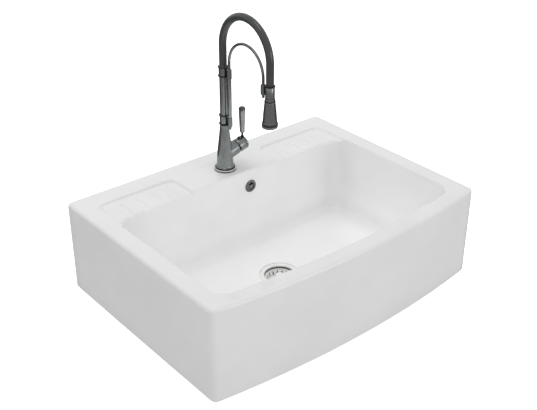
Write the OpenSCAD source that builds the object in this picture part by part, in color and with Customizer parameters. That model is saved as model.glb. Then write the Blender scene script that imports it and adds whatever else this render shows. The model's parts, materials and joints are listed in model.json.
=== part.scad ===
// Butler sink with a bowed front, a tap ledge with ribbed drainers, a basket waste, an overflow,
// and a tall mixer tap whose hose arches over a guide rod to a spray head.
// Millimetres. Z is up, the front of the sink faces -Y. The datum is on the sink's flat underside.

/* [Sink] */
// Width of the sink
sink_w = 800; // [770:1:850]
// Depth of the sink at its sides, from the rear face
sink_d = 570; // [560:1:590]
// How far the front bows out at its middle
bow = 30; // [20:1:40]
// Height of the sink
sink_h = 235; // [230:1:255]
// Corner radius in plan
corner_r = 12; // [10:1:16]
// Rounding of the rim's outer edge
rim_r = 9; // [6:1:9]
// Rounding of the bottom edge
foot_r = 4; // [2:1:6]
// Distance from the rear face to the datum on the underside
datum_d = 200; // [190:1:205]

/* [Bowl] */
// Width of the rim at the sides
side_rim = 46; // [42:1:54]
// Width of the rim at the front
front_rim = 41; // [38:1:50]
// Distance from the rear face to the bowl
ledge_d = 145; // [142:1:150]
// Thickness of the floor
floor_t = 24; // [23:1:28]
// Corner radius of the bowl in plan
bowl_corner_r = 38; // [34:1:50]
// Fillet between the bowl's walls and floor
floor_fillet = 22; // [16:1:24]
// Rounding of the bowl's mouth
mouth_r = 6; // [4:1:8]
// Lean of the bowl's side and front walls, in degrees
bowl_draft = 1.5; // [1:0.1:2]

/* [Ledge] */
// Width of the rear rim behind the ledge
rear_rim = 55; // [50:1:60]
// Depth of the tap deck below the rim
deck_drop = 1.2; // [1:0.1:2]
// Distance from the middle to each drainer
deck_half_w = 134; // [120:1:140]
// Depth of the drainers below the rim
drainer_drop = 5.5; // [4:0.1:6]
// Corner radius of the drainers
drainer_r = 25; // [15:1:30]
// Number of channels in each drainer
channel_count = 4; // [3:1:4]
// Distance from the drainer's inner edge to its first channel
channel_first = 29; // [20:1:32]
// Spacing of the channels
channel_pitch = 44; // [40:1:45]
// Width of a channel
channel_w = 24; // [20:1:28]
// Depth of a channel below the drainer
channel_drop = 2.2; // [1:0.1:3]
// Distance from the drainer's rear edge to the channels
channel_back = 22; // [16:1:30]
// Thickness of the ledge over the service space
ledge_t = 22; // [20:1:25]
// Thickness of the walls round the service space
service_wall = 23; // [20:1:24]

/* [Waste] */
// Distance from the bowl's rear wall to the waste
waste_d = 168; // [160:1:185]
// Radius of the hole in the floor
waste_hole_r = 43; // [42.5:0.5:45]
// Radius of the waste's flange
waste_flange_r = 49.5; // [48:0.5:52]
// Outer radius of the waste's cup
cup_r = 40; // [39:0.5:41]
// Depth of the waste's cup below the floor
cup_depth = 56; // [54:1:62]
// Depth of the seat round the waste's hole under the floor
under_seat = 7.5; // [7:0.5:9]
// Depth of the strainer below its rim
strainer_depth = 17.3; // [14:0.1:20]
// Height of the raised middle of the strainer
strainer_boss_h = 12; // [9:0.5:13]
// Radius of the raised middle of the strainer
strainer_boss_r = 20; // [18:0.5:21]
// Number of slots in the strainer's wall
strainer_slots = 18; // [12:1:20]
// Radius of the outlet's thread
outlet_r = 23.9; // [22:0.1:25]
// Length of the outlet's thread
outlet_l = 26; // [20:1:32]

/* [Overflow] */
// Distance of the overflow to the right of the middle
overflow_x = 43.5; // [40:0.5:50]
// Distance of the overflow below the rim
overflow_drop = 47; // [42:1:52]
// Radius of the overflow's ring
overflow_r = 16.5; // [16:0.5:19]
// Outer radius of the overflow pipe
pipe_r = 12.6; // [12:0.1:13]
// Bend radius of the overflow pipe
pipe_bend_r = 40; // [36:1:44]

/* [Tap column] */
// Radius of the tap's base ring
base_r = 28; // [27:0.5:30]
// Height of the base ring
base_h = 9; // [8:0.5:11]
// Height of the tap's body above the deck
body_h = 123; // [118:1:130]
// Radius of the body at its foot
body_foot_r = 21.1; // [20.5:0.1:22]
// Radius of the body at its neck
neck_r = 11.1; // [10.8:0.1:11.6]
// Outer radius of the riser tube
riser_r = 10; // [9.6:0.1:10.4]
// Height from the lower collar's foot to the upper collar's foot
collar_rise = 125; // [115:1:140]
// Height of a collar
collar_h = 28; // [26:0.5:30]
// Outer radius of a collar
collar_r = 11.2; // [11.1:0.1:11.6]

/* [Arch] */
// Distance from the column to the spray head
reach = 174.3; // [165:0.1:190]
// Outer radius of the hose
hose_r = 9.3; // [9:0.1:9.6]
// Height of the hose's straight rise above the upper collar
hose_rise = 52.5; // [45:0.5:65]
// Radius of the guide rod
rod_r = 3.5; // [3:0.1:3.8]
// Distance from the column's axis to the guide rod
rod_gap = 23.8; // [23:0.1:25]
// Radius of the guide rod's thick leg between the collars
rod_leg_r = 4.8; // [4.4:0.1:5.2]
// Distance from the guide rod's front leg to the spray head's axis
rod_front_gap = 24; // [22:0.5:25]
// Height of the guide rod's straight rise above the upper collar
rod_rise = 12; // [8:1:20]
// Outer radius of the eyes that hold the guide rod
eye_r = 6; // [5.8:0.1:6.3]
// Height of an eye
eye_h = 24; // [22:1:25]

/* [Spray head] */
// Height of the spray head's shell
head_h = 53; // [48:1:60]
// Radius of the shell at its top
head_top_r = 12.8; // [12.6:0.1:13.4]
// Radius of the shell at its foot
head_foot_r = 17.9; // [17:0.1:18.5]
// Height of the ring round the outlet
head_ring_h = 12.8; // [12:0.2:14]
// Height of the rounded lip at the foot of that ring
head_lip_h = 5.6; // [5:0.1:6.4]
// Number of nozzles in the outer circle
nozzle_count = 16; // [12:1:18]

/* [Valve] */
// Height of the valve's axis above the rim, at the column
valve_z = 41; // [38:0.5:46]
// Upward lean of the valve, in degrees
valve_lean = 13; // [10:0.5:16]
// Distance from the column's axis to the end of the branch
branch_l = 36; // [35:0.5:38]
// Radius of the branch at its end
branch_r = 18.3; // [18:0.1:19]
// Length of the handle's hub
hub_l = 28; // [26:0.5:31]
// Distance of the lever from the column's axis
lever_x = 56; // [55:0.5:57]
// Radius of the lever's stem
stem_r = 2.7; // [2.4:0.1:3]
// Length of the grip
grip_l = 61; // [50:1:75]
// Height of the bare stem between the hub and the grip
stem_bare_h = 24; // [18:1:30]
// Radius of the grip at its top
grip_top_r = 8.8; // [7.5:0.1:9.5]
// Radius of the grip at its foot
grip_foot_r = 6.9; // [5.5:0.1:7.5]
// Radius of the hub's stud
stud_r = 3.1; // [2.8:0.1:3.6]
// How far the hub's stud stands up
stud_h = 4.4; // [2:0.1:5]

/* [Fits] */
// Clearance of a turning or sliding fit, on the radius
running = 0.05; // [0.02:0.01:0.1]
// Clearance of a fixed fit, on the radius
seat = 0.1; // [0.05:0.01:0.15]
// Gap between pieces that move past each other
gap = 0.4; // [0.3:0.1:0.5]

/* [Hidden] */
$fn = 96;
eps = 0.01;

rear_y = datum_d;
rim_z = sink_h;
deck_z = rim_z - deck_drop;
front_y = rear_y - sink_d - bow;
bow_r = (sink_w*sink_w/4 + bow*bow)/(2*bow);
bow_y = front_y + bow_r;
bowl_rear_y = rear_y - ledge_d;
bowl_half_w = sink_w/2 - side_rim;
service_front_y = bowl_rear_y + service_wall;
service_rear_y = rear_y - service_wall;
service_top_z = rim_z - drainer_drop - channel_drop - ledge_t + 5;
ledge_rear_y = rear_y - rear_rim;
drainer_rear_y = ledge_rear_y - 2;

waste_y = bowl_rear_y - waste_d;
flange_t = 1.6;
flange_seat_z = floor_t - 2.4;
cup_wall = 1.2;
cup_in_r = cup_r - cup_wall;
cup_floor_z = floor_t - cup_depth;
trap_r = cup_r + 7;
trap_floor_z = cup_floor_z - 22;
trap_wall = 3;
gasket_t = 3;
trap_flange_r = trap_r + 11;
trap_flange_z = under_seat - gasket_t;
pipe_in_r = pipe_r - 2;
pipe_z = -38;
outlet_in_r = outlet_r - 3.4;

overflow_z = rim_z - overflow_drop;
overflow_hole_r = overflow_r - 4.5;
overflow_tube_r = overflow_hole_r - 0.4;
overflow_bore_r = overflow_tube_r - 1.8;
elbow_y = service_front_y + 16;
spigot_r = pipe_in_r - seat;
overflow_boss_s = -2;
elbow_back = elbow_y - bowl_rear_y + 14;

tap_y = (bowl_rear_y + ledge_rear_y)/2 + 2;
tap_hole_r = 17.5;
shank_r = 15.5;
shank_l = 85;
spigot_top_r = 7.6;
spigot_h = 17;
collar_z = deck_z + body_h + gap/2;
upper_collar_z = collar_z + collar_rise;
bead_r = 1.7;
waterway_r = 5;
counterbore_h = 13;

arch_z = upper_collar_z + collar_h + hose_rise;
arch_r = reach/2;
rod_arch_r = (reach - rod_gap - rod_front_gap)/2;
rod_arch_z = upper_collar_z + collar_h + rod_rise;
head_y = tap_y - reach;
rod_rear_y = tap_y - rod_gap;
rod_front_y = rod_rear_y - 2*rod_arch_r;
holder_top_z = upper_collar_z + collar_h + 4;
holder_h = 31;
holder_z = holder_top_z - holder_h;
head_nut_h = 7.6;
head_nut_z = holder_z - gap - head_nut_h;
shell_z = head_nut_z - head_h;
outlet_z = shell_z - head_ring_h;
hose_bore_r = 5.2;
rod_tip = 4;
front_tip = 5;

pivot_s = branch_l + 3;
hub_s = branch_l + 1.6;
hub_end_s = hub_s + hub_l;
hub_r = branch_r - 0.5;
hub_wall = 3.2;
hub_relief = 5.8;
cartridge_r = branch_r - 4.2;
rotor_r = 7.15;
spindle_r = 2.6;
pin_r = 1.2;
stud_s = hub_s + 12.4;
stud_root = 2.2;
lever_foot_z = rim_z + valve_z + lever_x*tan(valve_lean) + 7;
grip_z = lever_foot_z + stem_bare_h;

ceramic = [0.95, 0.95, 0.94];
pewter = [0.36, 0.37, 0.39];
polished = [0.62, 0.63, 0.64];
steel = [0.80, 0.81, 0.82];
black_rubber = [0.09, 0.09, 0.10];
dark_metal = [0.12, 0.12, 0.13];
white_plastic = [0.88, 0.88, 0.86];
brass_tone = [0.80, 0.66, 0.36];

// Points of an arc about [cx, cy]
function arc(cx, cy, r, a0, a1, n) =
    [for (i = [0:n]) let (a = a0 + (a1 - a0)*i/n) [cx + r*cos(a), cy + r*sin(a)]];

// Points of a cubic curve through its end points p[0] and p[3]
function curve(p, n) =
    [for (i = [0:n]) let (t = i/n, u = 1 - t)
        u*u*u*p[0] + 3*u*u*t*p[1] + 3*u*t*t*p[2] + t*t*t*p[3]];

function at_z(outline, z) = [for (p = outline) [p[0], p[1], z]];

// Rounded plan shape with a straight rear, straight sides and a bowed front, drawn anticlockwise
function plan(half_w, rear, front_r, corner, inset) =
    let (
        r = max(corner - inset, 0.5),
        cx = half_w - corner,
        front_cy = bow_y - sqrt(pow(front_r - corner, 2) - cx*cx),
        lean = asin(cx/(front_r - corner))
    )
    concat(
        arc(cx, rear - corner, r, 0, 90, 6),
        arc(-cx, rear - corner, r, 90, 180, 6),
        arc(-cx, front_cy, r, 180, 270 - lean, 6),
        arc(0, bow_y, front_r - inset, 270 - lean*0.95, 270 + lean*0.95, 18),
        arc(cx, front_cy, r, 270 + lean, 360, 6)
    );

// Closed skin through a stack of outlines, from the lowest up
module skin(sections) {
    n = len(sections[0]);
    top = (len(sections) - 1)*n;
    walls = [for (i = [0:len(sections) - 2]) for (j = [0:n - 1])
        let (a = i*n + j, b = i*n + (j + 1)%n)
        each [[a, a + n, b + n], [a, b + n, b]]];
    caps = [[for (j = [0:n - 1]) j], [for (j = [n - 1:-1:0]) top + j]];
    polyhedron(points = [for (s = sections) each s], faces = concat(walls, caps));
}

module at_waste() {
    translate([0, waste_y, 0]) children();
}

module at_tap(z = 0) {
    translate([0, tap_y, z]) children();
}

module at_head(z = 0) {
    translate([0, head_y, z]) children();
}

// Frame of the valve, with its own Z along the branch and its own -X on the upper side
module at_valve() {
    translate([0, tap_y, rim_z + valve_z]) rotate([0, 90 - valve_lean, 0]) children();
}

// Tube round the Z axis
module tube(r_out, r_in, z0, z1) {
    difference() {
        translate([0, 0, z0]) cylinder(r = r_out, h = z1 - z0);
        translate([0, 0, z0 - 1]) cylinder(r = r_in, h = z1 - z0 + 2);
    }
}

// Outer block of the sink, with its rounded rim and foot
module sink_block() {
    half_w = sink_w/2;
    foot = [for (a = [0:30:90])
        at_z(plan(half_w, rear_y, bow_r, corner_r, foot_r*(1 - sin(a))), foot_r*(1 - cos(a)))];
    rim = [for (a = [0:15:90])
        at_z(plan(half_w, rear_y, bow_r, corner_r, rim_r*(1 - cos(a))), rim_z - rim_r*(1 - sin(a)))];
    skin(concat(foot, rim));
}

// Plan of the bowl, drawn in by an inset and let out at the sides and front by a flare
function bowl_plan(inset, flare = 0) =
    let (
        lean_in = max(inset, 0),
        outline = plan(bowl_half_w + flare, bowl_rear_y, bow_r - front_rim + flare, bowl_corner_r, lean_in)
    )
    outline;

function bowl_inset(z) = (rim_z - z)*tan(bowl_draft);

// Space of the bowl: filleted floor, leaning walls and a mouth that opens out at the rim
module bowl_space() {
    floor_rings = [for (a = [0:18:90])
        let (z = floor_t + floor_fillet*(1 - cos(a)))
        at_z(bowl_plan(floor_fillet*(1 - sin(a)), -bowl_inset(z)), z)];
    mouth_rings = [for (a = [0:22.5:90])
        let (z = rim_z - mouth_r*(1 - sin(a)))
        at_z(bowl_plan(0, mouth_r*(1 - cos(a)) - bowl_inset(rim_z - mouth_r)), z)];
    over = [at_z(bowl_plan(0, mouth_r - bowl_inset(rim_z - mouth_r)), rim_z + 1)];
    skin(concat(floor_rings, mouth_rings, over));
}

// Shallow deck between the rear rim and the bowl
module deck_space() {
    depth = ledge_rear_y - bowl_rear_y + 4;
    translate([-deck_half_w - 10, bowl_rear_y - 4, deck_z])
        cube([2*deck_half_w + 20, depth, deck_drop + 1]);
}

// One drainer, with its channels open to the bowl
module drainer_space(side) {
    front = bowl_rear_y - bowl_corner_r;
    z = rim_z - drainer_drop;
    inner = side*deck_half_w;
    outer = side*bowl_half_w;
    hull() {
        for (x = [inner + side*drainer_r, outer - side*drainer_r])
            translate([x, drainer_rear_y - drainer_r, z])
                cylinder(r = drainer_r, h = drainer_drop + 1, $fn = 32);
        translate([min(inner, outer), front, z]) cube([abs(outer - inner), 2, drainer_drop + 1]);
    }
    for (i = [0:channel_count - 1]) {
        near = deck_half_w + channel_first + i*channel_pitch;
        channel_space(side*(near + channel_w/2), front);
    }
}

// One channel: a shallow trough with a rounded rear end
module channel_space(x, front) {
    end_r = 9;
    top_z = rim_z - drainer_drop;
    rear = drainer_rear_y - channel_back;
    hull() {
        for (dx = [-channel_w/2 + end_r, channel_w/2 - end_r])
            for (step = [[0, -channel_drop, -1.5], [0, 0.5, 0]])
                translate([x + dx, rear - end_r, top_z + step[1]])
                    cylinder(r = end_r + step[2], h = eps, $fn = 24);
        for (step = [[-channel_drop, -1.5], [0.5, 0]])
            translate([x - channel_w/2 - step[1], front, top_z + step[0]])
                cube([channel_w + 2*step[1], 2, eps]);
    }
}

// Space under the ledge, open below, where the tap and the overflow are fixed
module service_space() {
    r = 14;
    half_w = bowl_half_w - 4;
    hull()
        for (x = [-half_w + r, half_w - r], y = [service_front_y + r, service_rear_y - r])
            translate([x, y, -1]) cylinder(r = r, h = service_top_z + 1, $fn = 32);
}

module sink_body() {
    color(ceramic) difference() {
        sink_block();
        bowl_space();
        deck_space();
        for (side = [-1, 1]) drainer_space(side);
        service_space();
        at_waste() translate([0, 0, -1]) cylinder(r = waste_hole_r, h = floor_t + 2);
        at_waste() translate([0, 0, flange_seat_z]) cylinder(r = waste_flange_r + 1, h = 10);
        at_waste() translate([0, 0, -1]) cylinder(r = trap_flange_r + 1.5, h = under_seat + 1);
        at_tap(service_top_z - 1) cylinder(r = tap_hole_r, h = 40);
        translate([overflow_x, bowl_rear_y - 5, overflow_z])
            rotate([-90, 0, 0]) cylinder(r = overflow_hole_r, h = service_wall + 10);
    }
}

// Frame of the overflow, with its own Z running back through the wall
module at_overflow() {
    translate([overflow_x, bowl_rear_y, overflow_z]) rotate([-90, 0, 0]) children();
}

// Ring with a plate across its lower part, so that the water runs in above the plate
module overflow_ring() {
    lip = 3;
    plate_t = 2.5;
    plate_top = 3.4;
    boss_r = 3.4;
    color(pewter) at_overflow() difference() {
        union() {
            rotate_extrude() polygon(concat(
                [[overflow_bore_r, 12], [overflow_bore_r, -lip + 1]],
                arc(overflow_bore_r + 1, -lip + 1, 1, 180, 270, 4),
                arc(overflow_r - 2.2, -lip + 2.2, 2.2, 270, 360, 6),
                [[overflow_r, 0], [overflow_tube_r, 0], [overflow_tube_r, 12]]
            ));
            intersection() {
                translate([-overflow_r, -plate_top, -1]) cube([2*overflow_r, 2*overflow_r, plate_t]);
                translate([0, 0, -2]) cylinder(r = overflow_tube_r - 0.2, h = 10);
            }
            translate([0, 0, overflow_boss_s]) cylinder(r = boss_r, h = 6);
        }
        translate([0, 0, overflow_boss_s - 1]) cylinder(r = 2 + seat, h = 10);
    }
}

module overflow_screw() {
    head_h = 1.4;
    color(steel) at_overflow() {
        translate([0, 0, overflow_boss_s - head_h]) cylinder(r1 = 2.4, r2 = 3, h = head_h);
        translate([0, 0, overflow_boss_s - eps]) cylinder(r = 2, h = elbow_back - 7 - overflow_boss_s);
    }
}

module overflow_seal() {
    color(black_rubber) at_overflow()
        tube(overflow_r + 1.5, overflow_hole_r + 0.5, service_wall, service_wall + 2);
}

module overflow_elbow() {
    back = elbow_back;
    face = service_wall + 2;
    boss = back - 14;
    color(white_plastic) {
        difference() {
            union() {
                at_overflow() translate([0, 0, face]) cylinder(r = overflow_r + 2.5, h = 2.5);
                at_overflow() translate([0, 0, face]) cylinder(r = 14.5, h = back - face);
                translate([overflow_x, elbow_y, overflow_z - 40]) cylinder(r = spigot_r, h = 40);
            }
            at_overflow() translate([0, 0, face - 1]) cylinder(r = 12.5, h = back - face - 1.5);
            translate([overflow_x, elbow_y, overflow_z - 41]) cylinder(r = spigot_r - 1.8, h = 41);
        }
        at_overflow() rotate_extrude() polygon([
            [2 + seat, boss], [4.4, boss], [4.4, back - 1], [0, back - 1], [0, boss + 9], [2 + seat, boss + 9]
        ]);
    }
}

// Direction in plan from the overflow elbow to the waste
pipe_turn = atan2(waste_y - elbow_y, -overflow_x);
pipe_run = norm([overflow_x, elbow_y - waste_y]);

module overflow_pipe() {
    leg_top = overflow_z - 20;
    leg_foot = pipe_z + pipe_bend_r;
    flat_end = pipe_run - trap_r - 5.5;
    color(white_plastic) translate([overflow_x, elbow_y, 0]) rotate([0, 0, pipe_turn]) {
        tube(pipe_r, pipe_in_r, leg_foot, leg_top);
        translate([pipe_bend_r, 0, leg_foot]) rotate([90, 180, 0])
            rotate_extrude(angle = 90) translate([pipe_bend_r, 0]) difference() {
                circle(r = pipe_r);
                circle(r = pipe_in_r);
            }
        translate([pipe_bend_r, 0, pipe_z]) rotate([0, 90, 0])
            tube(pipe_r, pipe_in_r, 0, flat_end - pipe_bend_r);
    }
}

module waste_flange() {
    z = flange_seat_z + 0.8;
    color(steel) at_waste() difference() {
        union() {
            rotate_extrude() polygon(concat(
                [[waste_flange_r, z], [waste_flange_r, z + 0.8]],
                arc(waste_flange_r - 3, z + 0.6, 1, 60, 100, 3),
                [[cup_r + 3, z + flange_t]],
                arc(cup_r + 2.5, z + flange_t - 3.7, 3.7, 90, 180, 6),
                [[cup_in_r, floor_t - 9.5], [cup_in_r - 2, floor_t - 9.5], [cup_in_r - 2, cup_floor_z + 6]],
                arc(cup_in_r - 6, cup_floor_z + cup_wall + 4, 4, 0, -90, 5),
                [[21, cup_floor_z + cup_wall], [21, cup_floor_z]],
                arc(cup_in_r - 6, cup_floor_z + cup_wall + 4, 5.2, -90, 0, 5),
                [[cup_r - 2, floor_t - 11], [cup_r, floor_t - 9.6]],
                arc(cup_r + 2.5, z - 2.5, 2.5, 180, 90, 6)
            ));
            for (a = [0:120:240]) rotate([0, 0, a])
                translate([0, -2.5, cup_floor_z]) cube([22, 5, cup_wall]);
            translate([0, 0, cup_floor_z]) cylinder(r = 7, h = cup_wall);
        }
        translate([0, 0, cup_floor_z - 1]) cylinder(r = 3.2, h = 4);
    }
}

module waste_seal() {
    color(black_rubber) at_waste()
        tube(waste_flange_r - 1, waste_hole_r + 1, flange_seat_z, flange_seat_z + 0.8);
}

module waste_gasket() {
    color(black_rubber) at_waste() tube(trap_flange_r, trap_r - 3, trap_flange_z, under_seat);
}

module waste_trap_body() {
    boss_r = 5;
    color(white_plastic) difference() {
        union() {
            at_waste() translate([0, 0, trap_flange_z - 4]) cylinder(r = trap_flange_r, h = 4);
            at_waste() translate([0, 0, trap_floor_z]) cylinder(r = trap_r, h = trap_flange_z - trap_floor_z);
            at_waste() translate([0, 0, trap_floor_z - outlet_l]) cylinder(r = outlet_r, h = outlet_l + 2);
            at_waste() translate([0, 0, pipe_z]) rotate([0, 90, pipe_turn + 180])
                cylinder(r = spigot_r, h = trap_r + 24);
            at_waste() translate([0, 0, pipe_z]) rotate([0, 90, pipe_turn + 180])
                cylinder(r = pipe_r, h = trap_r + 5);
        }
        at_waste() translate([0, 0, trap_floor_z + trap_wall])
            cylinder(r = trap_r - trap_wall, h = -trap_floor_z + 20);
        at_waste() difference() {
            translate([0, 0, trap_floor_z - outlet_l - 1]) cylinder(r = outlet_in_r, h = outlet_l + 20);
            for (a = [60:120:300]) rotate([0, 0, a])
                translate([0, -1.5, trap_floor_z]) cube([outlet_in_r + 1, 3, 10]);
            translate([0, 0, trap_floor_z - 4]) cylinder(r = boss_r, h = 16);
        }
        at_waste() translate([0, 0, pipe_z]) rotate([0, 90, pipe_turn + 180])
            translate([0, 0, trap_r - 10]) cylinder(r = spigot_r - 1.8, h = 60);
    }
    color(white_plastic) at_waste() difference() {
        union() {
            translate([0, 0, trap_floor_z]) cylinder(r = boss_r, h = 14);
            for (a = [60:120:300]) rotate([0, 0, a])
                translate([0, -1.5, trap_floor_z]) cube([outlet_in_r + 1, 3, 8]);
        }
        translate([0, 0, trap_floor_z + 1]) cylinder(r = 2.5 + seat, h = 20);
    }
}

module waste_screw() {
    color(steel) at_waste() {
        translate([0, 0, cup_floor_z + cup_wall]) cylinder(r = 5.5, h = 2.2);
        translate([0, 0, trap_floor_z + 3]) cylinder(r = 2.5, h = cup_floor_z + cup_wall - trap_floor_z - 2);
    }
}

sheet = 1.2;
basket_rim_z = floor_t - 9.7;
basket_r = cup_in_r - 2.8;
basket_floor_z = basket_rim_z - strainer_depth;
basket_boss_z = basket_floor_z + strainer_boss_h;
stopper_z = cup_floor_z + cup_wall + 9;
knob_shank_r = 3.9;

// Pressed strainer: a rim that rests on the cup's shoulder, a slotted wall, a trough and a raised middle
module strainer_basket() {
    rim_out = cup_in_r - 0.5;
    rim_top = basket_rim_z + 0.2 + sheet;
    trough_r = basket_r - 4;
    boss = strainer_boss_r;
    low = basket_floor_z;
    high = basket_boss_z;
    hole_r = knob_shank_r + seat;
    color(steel) at_waste() difference() {
        rotate_extrude() polygon([
            [rim_out, basket_rim_z + 0.2], [rim_out, rim_top], [basket_r - sheet, rim_top],
            [trough_r - 1, low + 3], [trough_r - 3.6, low + sheet], [boss + 2.6, low + sheet],
            [boss, low + 3.6], [boss - 1.6, high - 1.6], [boss - 3.4, high], [hole_r, high],
            [hole_r, high - sheet], [boss - 4, high - sheet], [boss - 2.8, high - 2.2],
            [boss - 1.2, low + 3], [boss + 2, low], [trough_r - 3, low], [trough_r, low + 2.6],
            [basket_r, basket_rim_z + 0.2]
        ]);
        for (i = [0:strainer_slots - 1]) rotate([0, 0, i*360/strainer_slots])
            translate([basket_r - 8, -1.25, low + 5]) cube([12, 2.5, rim_top - low - 9]);
        for (ring = [[(boss - 3.4 + hole_r)/2 + 1.6, 8, high], [(boss + trough_r)/2 - 0.5, 16, low]])
            for (i = [0:ring[1] - 1]) rotate([0, 0, i*360/ring[1]])
                translate([ring[0], 0, ring[2] - 2]) cylinder(r = 1.6, h = 4, $fn = 16);
    }
}

// Turned knob, whose shank runs down through the strainer to the stopper
module basket_knob() {
    top = floor_t - 1.5;
    shank = knob_shank_r;
    color(steel) at_waste() rotate_extrude() polygon(concat(
        [[0, stopper_z - 6], [shank, stopper_z - 6], [shank, stopper_z], [shank + 1.6, stopper_z + 0.1],
         [shank + 1.6, stopper_z + 1.4], [shank, stopper_z + 1.8], [shank, basket_boss_z],
         [shank + 1.6, basket_boss_z + 0.1], [shank + 1.6, basket_boss_z + 1.3], [3, basket_boss_z + 1.8],
         [3, top - 8], [5, top - 5]],
        arc(8.2, top - 2.4, 2.4, -90, 90, 8),
        [[0, top + 0.4]]
    ));
}

module basket_stopper() {
    bore = knob_shank_r + seat;
    color(black_rubber) at_waste() rotate_extrude() polygon([
        [bore, stopper_z - 0.2], [10, stopper_z - 0.2], [23.5, stopper_z - 5],
        [26, cup_floor_z + cup_wall + 0.3], [24, cup_floor_z + cup_wall + 0.3],
        [9, stopper_z - 3.4], [bore, stopper_z - 3.4]
    ]);
}

// Base ring with a straight side, a chamfer and a narrower rounded top
module tap_base_ring() {
    top_r = base_r - 1.9;
    side_h = base_h*0.5;
    bore = 16.6;
    color(pewter) at_tap(deck_z) rotate_extrude() polygon(concat(
        [[bore, 1.6], [22, 1.6], [22, 0], [base_r - 0.4, 0], [base_r, 0.4], [base_r, side_h]],
        [[top_r + 0.2, side_h + 1.5], [top_r, side_h + 1.8]],
        arc(top_r - 1.4, base_h - 1.4, 1.4, 10, 90, 6),
        [[bore, base_h]]
    ));
}

module tap_base_seal() {
    color(black_rubber) at_tap(deck_z) tube(21.8, 18.5, 0, 1.6);
}

// Side of the tap's body: a flared foot, then a bell that narrows to the neck
function body_side() = concat(
    curve([[body_foot_r + 3.6, base_h], [body_foot_r + 1.3, base_h + 0.8],
           [body_foot_r + 0.2, base_h + 3], [body_foot_r, base_h + 7]], 6),
    curve([[body_foot_r, base_h + 7], [body_foot_r - 1.3, 0.41*body_h],
           [neck_r + 2.6, 0.72*body_h], [neck_r, body_h - 4]], 14),
    [[neck_r + 0.5, body_h - 3.4], [neck_r + 0.5, body_h - 1], [neck_r, body_h]]
);

module tap_body() {
    color(pewter) difference() {
        union() {
            at_tap(deck_z) rotate_extrude() polygon(concat(
                [[0, 2], [16.5, 2], [16.5, base_h]],
                body_side(),
                [[spigot_top_r, body_h], [spigot_top_r, body_h + spigot_h], [0, body_h + spigot_h]]
            ));
            at_valve() translate([0, 0, 8]) cylinder(r1 = branch_r + 0.9, r2 = branch_r, h = branch_l - 8);
        }
        at_valve() translate([0, 0, 14]) cylinder(r = cartridge_r, h = branch_l);
        at_tap(deck_z) translate([0, 0, 76]) cylinder(r = waterway_r, h = body_h);
        at_tap(deck_z) translate([0, 0, 1]) cylinder(r = shank_r - 1 + seat, h = 15);
        for (h = [4, 11]) at_tap(deck_z + body_h + h) tube(spigot_top_r + 1, spigot_top_r - 1.6, 0, 2.4);
    }
}

module tap_shank() {
    foot = -shank_l;
    color(brass_tone) at_tap(deck_z) difference() {
        union() {
            translate([0, 0, foot]) cylinder(r = shank_r, h = shank_l);
            cylinder(r = shank_r - 1, h = 15);
        }
        for (x = [-6, 6]) translate([x, 0, foot - 1]) {
            cylinder(r = 4.8, h = 15);
            cylinder(r = 3.6, h = shank_l + 10);
        }
    }
}

washer_z = service_top_z - deck_z;

module tap_washer() {
    color(black_rubber) at_tap(deck_z + washer_z) tube(23, shank_r + 0.5, -3, 0);
}

module tap_backplate() {
    color(steel) at_tap(deck_z + washer_z) tube(23, shank_r + 0.5, -5.5, -3);
}

module tap_nut() {
    color(brass_tone) at_tap(deck_z + washer_z) difference() {
        translate([0, 0, -17.5]) cylinder(r = 23.5, h = 12, $fn = 6);
        translate([0, 0, -19]) cylinder(r = shank_r + seat, h = 16);
    }
}

module swivel_seals() {
    color(black_rubber) for (h = [4, 11])
        at_tap(deck_z + body_h + h) tube(spigot_top_r - 0.02, spigot_top_r - 1.5, 0.3, 2.1);
}

module cartridge_shell() {
    top = branch_l + 6;
    color(white_plastic) at_valve() difference() {
        union() {
            translate([0, 0, 14.1]) cylinder(r = cartridge_r - seat, h = 14);
            translate([0, 0, 28]) cylinder(r = 8.9, h = top - 28);
        }
        translate([0, 0, 16]) cylinder(r = 12.2, h = 8.3);
        translate([0, 0, 20]) cylinder(r = rotor_r + running, h = 40);
    }
}

module cartridge_nut() {
    color(dark_metal) at_valve() difference() {
        union() {
            translate([0, 0, 28.2]) cylinder(r = cartridge_r - seat, h = branch_l - 28.2);
            translate([0, 0, branch_l - eps]) cylinder(r = 12.6, h = 4.6);
        }
        translate([0, 0, 28]) cylinder(r = 8.9 + seat, h = 30);
    }
}

module valve_disc_fixed() {
    color(ceramic) at_valve() difference() {
        translate([0, 0, 16]) cylinder(r = 12, h = 4);
        for (a = [0:120:240]) rotate([0, 0, a]) translate([6, 0, 15]) cylinder(r = 2.4, h = 6);
    }
}

module valve_disc_moving() {
    color(ceramic) at_valve() difference() {
        translate([0, 0, 20.1]) cylinder(r = 11.6, h = 4);
        translate([0, 0, 19]) cylinder(r = 5.5, h = 3.2);
    }
}

module cartridge_rotor() {
    top = branch_l + 5.6;
    color(dark_metal) at_valve() difference() {
        translate([0, 0, 24.4]) cylinder(r = rotor_r, h = top - 24.4);
        translate([-5, -spindle_r - 0.3, 30]) cube([9.6, 2*spindle_r + 0.6, 30]);
        translate([0, 0, pivot_s]) rotate([90, 0, 0])
            cylinder(r = pin_r + seat/2, h = 30, center = true, $fn = 32);
    }
}

module rotor_pin() {
    color(steel) at_valve() translate([0, 0, pivot_s]) rotate([90, 0, 0])
        cylinder(r = pin_r, h = 2*rotor_r - 1.2, center = true, $fn = 32);
}

module cartridge_spindle() {
    color(steel) at_valve() difference() {
        translate([0, 0, 32.5]) cylinder(r = spindle_r, h = hub_end_s - 5 - 32.5);
        translate([0, 0, pivot_s]) rotate([90, 0, 0])
            cylinder(r = pin_r + running, h = 10, center = true, $fn = 32);
    }
}

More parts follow.
